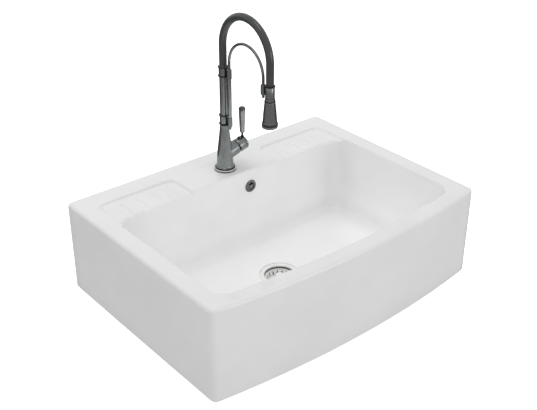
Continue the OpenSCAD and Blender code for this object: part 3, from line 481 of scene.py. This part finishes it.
# Metal finishes
# The tap is plated in a dark gunmetal with a soft brushed shine, its rod and grip are polished,
# and its fixings are satin steel. All share the same fine wear: faint brushing and fingerprints.
wear_group = bpy.data.node_groups.new("handled_metal", "ShaderNodeTree")
for socket, way, kind in (
    ("Tone", "INPUT", "NodeSocketColor"), ("Worn Tone", "INPUT", "NodeSocketColor"),
    ("Roughness", "INPUT", "NodeSocketFloat"), ("Brushing", "INPUT", "NodeSocketFloat"),
    ("Color", "OUTPUT", "NodeSocketColor"), ("Roughness", "OUTPUT", "NodeSocketFloat"),
    ("Height", "OUTPUT", "NodeSocketFloat"),
):
    wear_group.interface.new_socket(socket, in_out=way, socket_type=kind)


def work_out(tree, operation, *values):
    """Works a value out of others; each is a socket or a plain number."""
    maths = tree.nodes.new("ShaderNodeMath")
    maths.operation = operation
    for k, value in enumerate(values):
        if isinstance(value, float):
            maths.inputs[k].default_value = value
        else:
            tree.links.new(value, maths.inputs[k])
    return maths.outputs["Value"]


wear_in = wear_group.nodes.new("NodeGroupInput")
wear_out = wear_group.nodes.new("NodeGroupOutput")
wear_place = wear_group.nodes.new("ShaderNodeTexCoord").outputs["Object"]
stretch = wear_group.nodes.new("ShaderNodeMapping")
stretch.inputs["Scale"].default_value = (60, 60, 2600)
wear_group.links.new(wear_place, stretch.inputs["Vector"])
smudge = spread(wear_group, noise(wear_group, wear_place, 38, 4), 0.42, 0.68)
worn = tint(wear_group, smudge, wear_in.outputs["Tone"], wear_in.outputs["Worn Tone"])
wear_group.links.new(worn, wear_out.inputs["Color"])
dull = work_out(wear_group, "MULTIPLY_ADD", smudge, 0.07, wear_in.outputs["Roughness"])
brushed = noise(wear_group, stretch.outputs["Vector"], 1, 3)
streak = work_out(wear_group, "MULTIPLY", brushed, wear_in.outputs["Brushing"])
rough = work_out(wear_group, "MULTIPLY_ADD", streak, 0.12, dull)
wear_group.links.new(rough, wear_out.inputs["Roughness"])
wear_group.links.new(streak, wear_out.inputs["Height"])


def metal(name, tone, worn_tone, roughness, brushing):
    """A metal finish with faint brushing round the piece and a few duller patches."""
    finish = bpy.data.materials.new(name)
    finish.use_nodes = True
    tree = finish.node_tree
    body = tree.nodes["Principled BSDF"]
    body.inputs["Metallic"].default_value = 1
    wear = tree.nodes.new("ShaderNodeGroup")
    wear.node_tree = wear_group
    wear.inputs["Tone"].default_value = (*tone, 1)
    wear.inputs["Worn Tone"].default_value = (*worn_tone, 1)
    wear.inputs["Roughness"].default_value = roughness
    wear.inputs["Brushing"].default_value = brushing
    tree.links.new(wear.outputs["Color"], body.inputs["Base Color"])
    tree.links.new(wear.outputs["Roughness"], body.inputs["Roughness"])
    relief(tree, wear.outputs["Height"], 0.08, 0.0003)
    return finish


gunmetal = metal("gunmetal_plating", (0.27, 0.285, 0.285), (0.24, 0.25, 0.25), 0.16, 0.5)
polished_steel = metal("polished_steel", (0.37, 0.38, 0.38), (0.33, 0.335, 0.34), 0.09, 0.2)
satin_steel = metal("satin_steel", (0.84, 0.84, 0.84), (0.78, 0.78, 0.78), 0.12, 0.5)
# shaded_pewter is a darker copy of the gunmetal plating. On the base ring and the overflow ring it paints
# shade.
shaded_pewter = metal("shaded_pewter", (0.17, 0.174, 0.174), (0.14, 0.143, 0.143), 0.2, 0.5)
rod_plating = metal("rod_plating", (0.26, 0.268, 0.272), (0.22, 0.225, 0.23), 0.08, 0.2)
dark_chrome = metal("dark_chrome", (0.12, 0.123, 0.126), (0.1, 0.1, 0.103), 0.07, 0.2)
black_plating = metal("black_plating", (0.03, 0.03, 0.033), (0.045, 0.045, 0.045), 0.25, 0.3)
turned_brass = metal("turned_brass", (0.72, 0.52, 0.22), (0.60, 0.43, 0.20), 0.28, 1.0)


def plain(name, tone, second_tone, roughness, scale, bump):
    """A rubber, plastic or fired-clay finish with a cloudy tone and a fine moulded grain."""
    finish = bpy.data.materials.new(name)
    finish.use_nodes = True
    tree = finish.node_tree
    body = tree.nodes["Principled BSDF"]
    where = tree.nodes.new("ShaderNodeTexCoord").outputs["Object"]
    clouded = tint(tree, noise(tree, where, 30, 3), tone, second_tone)
    tree.links.new(clouded, body.inputs["Base Color"])
    body.inputs["Roughness"].default_value = roughness
    relief(tree, noise(tree, where, scale, 2), bump, 0.0002)
    return finish


black_rubber = plain("black_rubber", (0.018, 0.018, 0.02), (0.03, 0.03, 0.032), 0.55, 1500, 0.3)
hose_rubber = plain("hose_jacket", (0.036, 0.041, 0.041), (0.045, 0.05, 0.049), 0.28, 1200, 0.2)
jacket = hose_rubber.node_tree.nodes["Principled BSDF"]
jacket.inputs["Coat Weight"].default_value = 0.6
jacket.inputs["Coat Roughness"].default_value = 0.16
moulded_white = plain("moulded_white_plastic", (0.74, 0.74, 0.72), (0.70, 0.70, 0.68), 0.42, 900, 0.2)
ground_ceramic = plain("ground_ceramic", (0.82, 0.80, 0.75), (0.78, 0.76, 0.71), 0.3, 2000, 0.1)

finish_of_slot = {
    "glaze": glaze, "pewter": gunmetal, "polished_steel": polished_steel, "steel": satin_steel,
    "rubber": black_rubber, "hose_jacket": hose_rubber, "dark_fittings": black_plating,
    "white_plastic": moulded_white, "brass": turned_brass, "valve_ceramic": ground_ceramic,
}
for entry in frame["record"]["subparts"]:
    node = nodes[entry["node"]]
    node.data.materials.clear()
    node.data.materials.append(finish_of_slot[entry["material_slot"]])

# Waste and overflow
# The pressed steel flange and strainer are polished by use, and the cup's wall below the flange is
# painted near black as shade. The overflow's cast ring has the darker, shaded copy of the tap's
# plating, and its screw is polished.
CUP_SHADE_Z = 19

waste_steel = metal("waste_steel", (0.95, 0.95, 0.94), (0.9, 0.9, 0.89), 0.14, 0.5)
waste_steel.node_tree.nodes["Principled BSDF"].inputs["Metallic"].default_value = 0.35
flange_steel = waste_steel.copy()
flange_steel.name = "flange_steel"
tree = flange_steel.node_tree
# Painted shade: below the flange the cup's wall turns near black, standing in for the shadow inside the
# cup.
depth = tree.nodes.new("ShaderNodeSeparateXYZ")
tree.links.new(tree.nodes.new("ShaderNodeTexCoord").outputs["Object"], depth.inputs["Vector"])
below = spread(tree, depth.outputs["Z"], FLANGE_SEAT_Z * MM, CUP_SHADE_Z * MM)
wear = next(node for node in tree.nodes if node.bl_idname == "ShaderNodeGroup")
painted_cup_shade = tint(tree, below, wear.outputs["Color"], (0.1, 0.1, 0.1))
tree.links.new(painted_cup_shade, tree.nodes["Principled BSDF"].inputs["Base Color"])
for name, finish in (
    ("waste_flange", flange_steel), ("strainer_basket", waste_steel), ("basket_knob", waste_steel),
    ("overflow_ring", shaded_pewter), ("overflow_screw", polished_steel),
):
    nodes[name].data.materials[0] = finish

# Tap base ring
# A turned ring that clamps the tap down on the deck over a rubber seal, in the darker, shaded copy
# of the column's plating, which paints shade on it. A bright satin ring along its upper edge is a
# painted highlight, and a thin black bead closes the joint to the column's foot.
DECK_Z = 233.8


def turned(name, profile, sides=96, ring=False):
    """A round piece raised ring by ring from its foot; its profile is (radius, height) in millimetres."""
    bpy.ops.object.select_all(action="DESELECT")
    first_r, first_z = profile[0]
    bpy.ops.mesh.primitive_circle_add(
        vertices=sides, radius=first_r * MM, fill_type="NOTHING" if ring else "NGON",
        location=(0, 0, first_z * MM),
    )
    piece = bpy.context.object
    piece.name = name
    bpy.ops.object.mode_set(mode="EDIT")
    bpy.ops.mesh.select_all(action="SELECT")
    for (r0, z0), (r1, z1) in zip(profile, profile[1:]):
        bpy.ops.mesh.extrude_region_move(TRANSFORM_OT_translate={"value": (0, 0, (z1 - z0) * MM)})
        if r1 != r0:
            bpy.ops.transform.resize(value=(r1 / r0, r1 / r0, 1), center_override=(0, 0, z1 * MM))
    bpy.ops.mesh.select_all(action="SELECT")
    bpy.ops.mesh.remove_doubles(threshold=2e-6)
    bpy.ops.mesh.normals_make_consistent(inside=False)
    bpy.ops.object.mode_set(mode="OBJECT")
    bpy.ops.object.transform_apply(location=True, rotation=True, scale=True)
    return piece


def settle(piece, at, turn=(0, 0, 0)):
    """Puts a piece where it belongs and leaves its object at the origin."""
    pick(piece)
    piece.location = [c * MM for c in at]
    piece.rotation_euler = turn
    bpy.ops.object.transform_apply(location=True, rotation=True, scale=True)
    return piece


def finish_off(piece, material, stands_for, body, round_off=0.0, crease=32):
    """Rounds a piece's sharp edges, smooths it, and hands it to the body that carries it."""
    pick(piece)
    if round_off:
        edges = piece.modifiers.new("rounded", "BEVEL")
        edges.width = round_off * MM
        edges.segments = 3
        edges.limit_method = "ANGLE"
        edges.angle_limit = math.radians(crease)
        bpy.ops.object.modifier_apply(modifier=edges.name)
    bpy.ops.object.shade_smooth_by_angle(angle=math.radians(crease))
    piece.data.materials.clear()
    piece.data.materials.append(material)
    if stands_for:
        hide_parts(*stands_for)
    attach(piece, body)
    return piece


def shoulder(p0, p1, p2, p3, count):
    """Points of a cubic curve, for a profile's soft slopes."""
    points = []
    for k in range(count + 1):
        t = k / count
        u = 1 - t
        points.append(tuple(
            u**3 * a + 3 * u * u * t * b + 3 * u * t * t * c + t**3 * d
            for a, b, c, d in zip(p0, p1, p2, p3)
        ))
    return points


def lip(cx, cz, r, start, end, count):
    """Points of an arc in a profile, its angles in degrees."""
    return [
        (cx + r * math.cos(math.radians(a)), cz + r * math.sin(math.radians(a)))
        for a in [*sweep(start, end, count), end]
    ]


base_ring = turned("tap_base_ring_dressed", [
    (16.6, 1.6), (22.0, 1.6), (22.0, 0.05), *lip(27.4, 0.65, 0.6, -90, 0, 3), (28.0, 2.4),
    *lip(27.5, 4.2, 0.5, 0, 45, 3), *lip(26.6, 5.4, 0.5, 45, 90, 3), (25.6, 5.9),
    (23.6, 6.0), (23.6, 8.9), (16.6, 8.9), (16.6, 1.6),
], ring=True)
settle(base_ring, (0, TAP_Y, DECK_Z))
finish_off(base_ring, shaded_pewter, ["tap_base_ring"], "sink")


def black_bead(name, place, r, body, thick=1.65):
    """A rounded black ring pressed on a sleeve."""
    bead = turned(name, [
        (r, -0.8 * thick), *lip(r + 0.45 * thick, 0, thick, -110, 110, 12),
        (r, 0.8 * thick), (r, -0.8 * thick),
    ], ring=True)
    settle(bead, place)
    finish_off(bead, black_plating, [], body)


black_bead("tap_base_bead", (0, TAP_Y, DECK_Z + 7.6), 23.7, "sink", 1.3)
# Painted highlight: a near-white satin ring stands in for the light caught on the base ring's upper edge.
painted_highlight_ring = turned("tap_base_painted_highlight", [
    (23.8, 4.0), (27.6, 3.8), *lip(27.4, 4.3, 0.6, -40, 45, 4), *lip(26.5, 5.45, 0.7, 45, 90, 4),
    (25.0, 6.25), (23.8, 6.3), (23.8, 4.0),
], ring=True)
settle(painted_highlight_ring, (0, TAP_Y, DECK_Z))
finish_off(painted_highlight_ring, satin_steel, [], "sink")

# Tap column and valve branch
# One casting: a flared foot, a bell that narrows to the neck, and a short thick branch towards
# the lever, leaning a little upwards. Brushed round and plated with the rest of the tap.
VALVE_Z = 276
VALVE_TURN = (0, math.radians(77), 0)

column = turned("tap_column", [
    (16.4, 2.2), (16.4, 9.0), (24.1, 9.0), (24.5, 9.15),
    *shoulder((24.5, 9.4), (22.4, 9.9), (21.3, 12.0), (21.1, 16.0), 8),
    *shoulder((21.05, 17.0), (19.8, 50.4), (13.7, 88.6), (11.15, 118.6), 20),
    (11.2, 118.9), *lip(11.1, 119.6, 0.5, -40, 30, 3), *lip(11.1, 121.9, 0.5, -20, 60, 3), (10.8, 122.8),
    (7.6, 123.0), (7.6, 139.6), (7.2, 140.0),
])
settle(column, (0, TAP_Y, DECK_Z))
branch = turned("valve_branch", [
    (18.6, 2.0), (18.7, 8.0), (19.2, 16.0), (18.55, 30.0), (18.35, 34.8),
    *lip(17.5, 35.2, 0.8, 15, 90, 4), (14.0, 36.0), (14.0, 30.0),
])
settle(branch, (0, TAP_Y, VALVE_Z), VALVE_TURN)
cut_or_weld(column, branch, "UNION")
finish_off(column, gunmetal, ["tap_body"], "sink")

# Lever's hub
# A hollow turned cap over the valve's spindle. Its inner rim is cut on a slant, so that it can
# tip outwards without touching the branch.
HUB_FOOT, HUB_BORE_R = 37.6, 14.6
SLANT_RISE, HUB_W = 5.8, 35.6
SLANT = math.atan(SLANT_RISE / HUB_W)
hub = turned("lever_hub", [
    (HUB_BORE_R, 36.4), (17.2, 36.4), (17.7, 37.0), (17.8, 45.0), (17.65, 58.9), (17.1, 59.2), (17.0, 59.6),
    (17.1, 60.0), (17.5, 60.4), *lip(14.7, 62.8, 2.8, 0, 90, 8), (13.6, 65.55), (12.9, 65.2),
    (1.0, 65.2), (0.2, 65.2),
])
hollow = round_cutter(HUB_BORE_R, (0, 0, 36.6), 40)
bpy.ops.object.select_all(action="DESELECT")
bpy.ops.mesh.primitive_cube_add(size=1, location=(0, 0, 0))
slant = bpy.context.object
slant.scale = (90 * MM, 80 * MM, 40 * MM)
slant.rotation_euler = (0, -SLANT, 0)
slant.location = (0, 0, (HUB_FOOT + SLANT_RISE / 2) * MM - 20 * MM / math.cos(SLANT))
bpy.ops.object.transform_apply(location=True, rotation=True, scale=True)
for tool in (hollow, slant):
    cut_or_weld(hub, tool, "DIFFERENCE")
settle(hub, (0, TAP_Y, VALVE_Z), VALVE_TURN)
finish_off(hub, gunmetal, ["handle_hub"], "lever", round_off=0.3, crease=40)
hub_seam = turned("lever_hub_seam", [
    (16.6, 58.9), (17.1, 58.9), *lip(17.1, 59.65, 0.62, -80, 80, 6), (16.6, 60.4), (16.6, 58.9),
], ring=True)
settle(hub_seam, (0, TAP_Y, VALVE_Z), VALVE_TURN)
finish_off(hub_seam, black_plating, [], "lever")

# Lever
# A thin black stem screwed into the hub carries a polished, tapered grip with a domed cap. A
# fine dark line shows where the cap is screwed on.
LEVER_X = 56
GRIP_Z = 319.93
stem = turned("lever_stem_dressed", [
    (2.7, -23.9), (2.7, -12.9), (3.9, -12.7), (4.1, -12.0), (3.9, -11.3), (2.75, -10.7), (2.6, -4.0),
    (2.8, -2.9), (4.2, -2.4), (4.4, -1.6), (4.2, -0.6), (3.0, -0.2), (2.6, 4.0),
])
settle(stem, (LEVER_X, TAP_Y, GRIP_Z))
finish_off(stem, black_plating, ["lever_stem"], "lever")
grip = turned("lever_grip_dressed", [
    (3.0, 0.0), (6.0, 0.0), *lip(6.05, 0.9, 0.85, -80, 80, 6), (6.3, 2.0), (6.45, 3.0),
    *shoulder((6.5, 4.0), (6.9, 18.0), (8.1, 42.0), (8.25, 58.0), 12),
    (8.1, 59.9), (7.7, 60.6), (7.3, 60.9), (2.0, 61.0),
])
settle(grip, (LEVER_X, TAP_Y, GRIP_Z))
finish_off(grip, polished_steel, ["lever_grip"], "lever")
cap = turned("lever_cap_dressed", [
    (3.0, 61.0), (7.4, 61.0), (8.3, 61.3), *lip(8.0, 62.0, 0.75, -40, 30, 4),
    *shoulder((8.65, 62.6), (8.3, 66.4), (5.4, 67.95), (0.3, 67.95), 8),
])
settle(cap, (LEVER_X, TAP_Y, GRIP_Z))
finish_off(cap, dark_chrome, ["grip_cap"], "lever")
black_bead("lever_cap_seam", (LEVER_X, TAP_Y, GRIP_Z + 61.0), 7.6, "lever", 0.7)

# Collars and head holder
# Three short cast sleeves with rounded beads. Each grips the column or the hose and carries an
# eye, on a thin web, that the guide rod passes through. The web is coloured black as painted shade
# between the sleeve and the eye.
COLLAR_LOW, COLLAR_HIGH = 357.0, 482.0
EYE_LOW, EYE_HIGH = 1.1, 24.9
ROD_GAP, HEAD_ROD_GAP = 23.8, 24
HEAD_Y, HOLDER_Z = -72.3, 483.0


def sleeve_with_eye(name, profile, eye_r, gap, side, place):
    """A round sleeve with an eye beside it, and the thin web that carries the eye, coloured black as
    painted shade.
    """
    sleeve = turned(name, profile, sides=72)
    eye = turned(name + "_eye", [
        (3.6, EYE_LOW + 0.4), (4.0, EYE_LOW), (eye_r - 0.5, EYE_LOW), (eye_r, EYE_LOW + 0.5),
        (eye_r, EYE_HIGH - 0.5), (eye_r - 0.5, EYE_HIGH), (4.0, EYE_HIGH), (3.6, EYE_HIGH - 0.4),
    ], sides=40)
    settle(eye, (0, side * gap, 0))
    bpy.ops.object.select_all(action="DESELECT")
    middle = (0, side * gap / 2 * MM, (EYE_LOW + EYE_HIGH) / 2 * MM)
    bpy.ops.mesh.primitive_cube_add(size=1, location=middle)
    web = bpy.context.object
    web.name = name + "_web"
    web.scale = (4.4 * MM, (gap - 9) * MM, (EYE_HIGH - EYE_LOW - 6) * MM)
    bpy.ops.object.transform_apply(location=True, rotation=True, scale=True)
    bpy.ops.object.mode_set(mode="EDIT")
    bpy.ops.mesh.select_all(action="SELECT")
    bpy.ops.mesh.bevel(offset=0.9 * MM, segments=3, affect="EDGES")
    bpy.ops.object.mode_set(mode="OBJECT")
    settle(web, place)
    # Painted shade: the web is finished in black plating to stand for the shadow between sleeve and eye.
    finish_off(web, black_plating, [], "spout")
    bpy.ops.object.select_all(action="DESELECT")
    eye.select_set(True)
    sleeve.select_set(True)
    bpy.context.view_layer.objects.active = sleeve
    bpy.ops.object.join()
    return settle(sleeve, place)


def collar_profile(bore_low, bore_high):
    """A sleeve with a shallow seat near each end for its black bead."""
    return [
        (bore_low, 0.1), (10.7, 0.1), (11.15, 0.5), (11.15, 1.4), (10.9, 1.7), (10.9, 3.7), (11.2, 4.0),
        (11.2, 24.0), (10.9, 24.3), (10.9, 26.3), (11.15, 26.6), (11.15, 27.5), (10.7, 27.9),
        (bore_high, 27.9),
    ]


for name, node, z, bore_low, bore_high in (
    ("collar_low", "lower_collar", COLLAR_LOW, 7.7, 10.05),
    ("collar_high", "upper_collar", COLLAR_HIGH, 10.05, 9.4),
):
    collar = sleeve_with_eye(name, collar_profile(bore_low, bore_high), 6.0, ROD_GAP, -1, (0, TAP_Y, z))
    finish_off(collar, gunmetal, [node], "spout")
    black_bead(name + "_foot_bead", (0, TAP_Y, z + 2.7), 11.0, "spout")
    black_bead(name + "_top_bead", (0, TAP_Y, z + 25.3), 11.0, "spout")
holder = sleeve_with_eye("head_holder_dressed", [
    (9.4, 0.1), (10.8, 0.1), (11.2, 0.5), (11.2, 26.4), (10.9, 26.9), (10.4, 27.3), (10.4, 29.4),
    (9.4, 29.6),
], 6.3, HEAD_ROD_GAP, 1, (0, HEAD_Y, HOLDER_Z))
finish_off(holder, gunmetal, ["head_holder"], "spout")
black_bead("head_holder_bead", (0, HEAD_Y, HOLDER_Z + 28.8), 10.4, "spout")

# Riser
# A straight drawn tube, plated with the rest of the tap, that carries the water up to the hose.
# Its two ends sit in the collars.
RISER_R = 10.0

riser = turned("riser_dressed", [(RISER_R, z) for z in (374.0, 400.0, 430.0, 460.0, 493.5)])
settle(riser, (0, TAP_Y, 0))
finish_off(riser, gunmetal, ["riser_tube"], "spout")

# Hose and guide rod
# A thick smooth rubber-jacketed hose rises from the upper collar and arches over to the spray
# head. A thin polished rod, bent to a smaller arch and rounded at its ends, holds the head up.
HOSE_R, HOSE_ARCH_Z, HOSE_FOOT_Z, HOSE_END_Z = 9.3, 562.5, 497.0, 491.0
ROD_R, ROD_ARCH_Z, ROD_FOOT_Z, ROD_END_Z = 3.5, 522.0, 353.0, 478.0
ROD_REAR_Y, ROD_FRONT_Y = 78.2, -48.3
LEG_R, LEG_LOW, LEG_HIGH = 4.8, 382.1, 482.8


def arched_bar(name, radius, rear_y, foot_z, front_y, end_z, arch_z, tip, sides, steps):
    """A bar that rises, bends over in a half circle and comes down; `tip` rounds its two ends."""
    ends = [(radius, 0.0)]
    if tip:
        slopes = [math.radians(a) for a in (12, 30, 50, 70, 90)]
        ends = [(tip * math.sin(slope), -tip * math.cos(slope)) for slope in slopes]
    bpy.ops.object.select_all(action="DESELECT")
    bpy.ops.mesh.primitive_circle_add(
        vertices=sides, radius=ends[0][0] * MM, fill_type="NGON",
        location=(0, rear_y * MM, (foot_z + ends[0][1]) * MM),
    )
    bar = bpy.context.object
    bar.name = name
    bpy.ops.object.transform_apply(location=True, rotation=True, scale=True)
    bpy.ops.object.mode_set(mode="EDIT")
    bpy.ops.mesh.select_all(action="SELECT")
    for (r0, z0), (r1, z1) in zip(ends, ends[1:]):
        bpy.ops.mesh.extrude_region_move(TRANSFORM_OT_translate={"value": (0, 0, (z1 - z0) * MM)})
        centre = (0, rear_y * MM, (foot_z + z1) * MM)
        bpy.ops.transform.resize(value=(r1 / r0, r1 / r0, 1), center_override=centre)
    bpy.ops.mesh.extrude_region_move(TRANSFORM_OT_translate={"value": (0, 0, (arch_z - foot_z) * MM)})
    pivot = (0, (rear_y + front_y) / 2 * MM, arch_z * MM)
    bpy.ops.mesh.spin(steps=steps, angle=-math.pi, center=pivot, axis=(1, 0, 0))
    bpy.ops.mesh.extrude_region_move(TRANSFORM_OT_translate={"value": (0, 0, (end_z - arch_z) * MM)})
    for (r0, z0), (r1, z1) in zip(ends[::-1], ends[-2::-1]):
        bpy.ops.mesh.extrude_region_move(TRANSFORM_OT_translate={"value": (0, 0, (z1 - z0) * MM)})
        centre = (0, front_y * MM, (end_z + z1) * MM)
        bpy.ops.transform.resize(value=(r1 / r0, r1 / r0, 1), center_override=centre)
    bpy.ops.mesh.select_all(action="SELECT")
    bpy.ops.mesh.remove_doubles(threshold=2e-6)
    bpy.ops.mesh.normals_make_consistent(inside=False)
    bpy.ops.object.mode_set(mode="OBJECT")
    return bar


hose = arched_bar("hose_dressed", HOSE_R, TAP_Y, HOSE_FOOT_Z, HEAD_Y, HOSE_END_Z, HOSE_ARCH_Z, 0, 64, 96)
finish_off(hose, hose_rubber, ["hose"], "spout")
rod = arched_bar(
    "guide_rod_dressed", ROD_R, ROD_REAR_Y, ROD_FOOT_Z, ROD_FRONT_Y, ROD_END_Z, ROD_ARCH_Z, ROD_R, 32, 72
)
finish_off(rod, rod_plating, ["guide_rod"], "spout")
rod_leg = turned("guide_rod_leg", [
    (ROD_R, LEG_LOW), (LEG_R - 0.4, LEG_LOW), (LEG_R, LEG_LOW + 0.4), (LEG_R, 420.0), (LEG_R, 450.0),
    (LEG_R, LEG_HIGH - 0.4), (LEG_R - 0.4, LEG_HIGH), (ROD_R, LEG_HIGH),
], sides=40)
settle(rod_leg, (0, ROD_REAR_Y, 0))
finish_off(rod_leg, polished_steel, [], "spout")

# Spray head
# A turned nut and a flared plated shell with a black rubber ring round its outlet. It turns on
# the hose's stub, and the plate inside the ring is set with small rubber nozzles.
NUT_Z, SHELL_Z, OUTLET_Z = 475.0, 422.0, 409.2
head_nut = turned("head_nut_dressed", [
    (6.1, 0.0), (10.6, 0.0), *lip(11.2, 0.6, 0.6, -80, 0, 4), (11.8, 3.0), *lip(11.4, 7.1, 0.4, 0, 80, 4),
    (10.6, 7.6), (6.1, 7.6), (6.1, 0.0),
], ring=True)
settle(head_nut, (0, HEAD_Y, NUT_Z))
finish_off(head_nut, gunmetal, ["head_nut"], "spray_head")
shell = turned("spray_shell_dressed", [
    (15.6, 0.0), (17.6, 0.0), *lip(17.5, 0.5, 0.42, -60, 70, 5), (17.3, 1.3),
    *shoulder((17.1, 3.0), (16.1, 20.0), (14.0, 40.0), (12.95, 50.0), 12),
    *lip(12.2, 52.0, 0.7, 20, 90, 4), (7.0, 52.8), (7.0, 49.0), (10.8, 47.0), (14.6, 2.4), (15.6, 0.0),
], ring=True)
settle(shell, (0, HEAD_Y, SHELL_Z))
finish_off(shell, gunmetal, ["spray_shell"], "spray_head")
black_bead("head_seam_bead", (0, HEAD_Y, NUT_Z + 0.2), 10.8, "spray_head")
outlet_ring = turned("spray_ring_dressed", [
    (14.0, 12.7), (17.2, 12.7), *lip(17.4, 11.0, 1.6, 70, 20, 3), *lip(18.6, 8.6, 0.8, 20, -50, 4),
    (18.0, 6.6), (18.0, 5.7), (14.0, 5.7), (14.0, 12.7),
], ring=True)
settle(outlet_ring, (0, HEAD_Y, OUTLET_Z))
finish_off(outlet_ring, black_rubber, ["spray_ring"], "spray_head")
outlet_lip = turned("outlet_lip", [
    (14.0, 5.6), (17.9, 5.6), *lip(15.6, 3.3, 3.2, 50, -75, 10), (15.6, 0.6), (14.0, 0.8), (14.0, 5.6),
], ring=True)
settle(outlet_lip, (0, HEAD_Y, OUTLET_Z))
finish_off(outlet_lip, gunmetal, [], "spray_head")
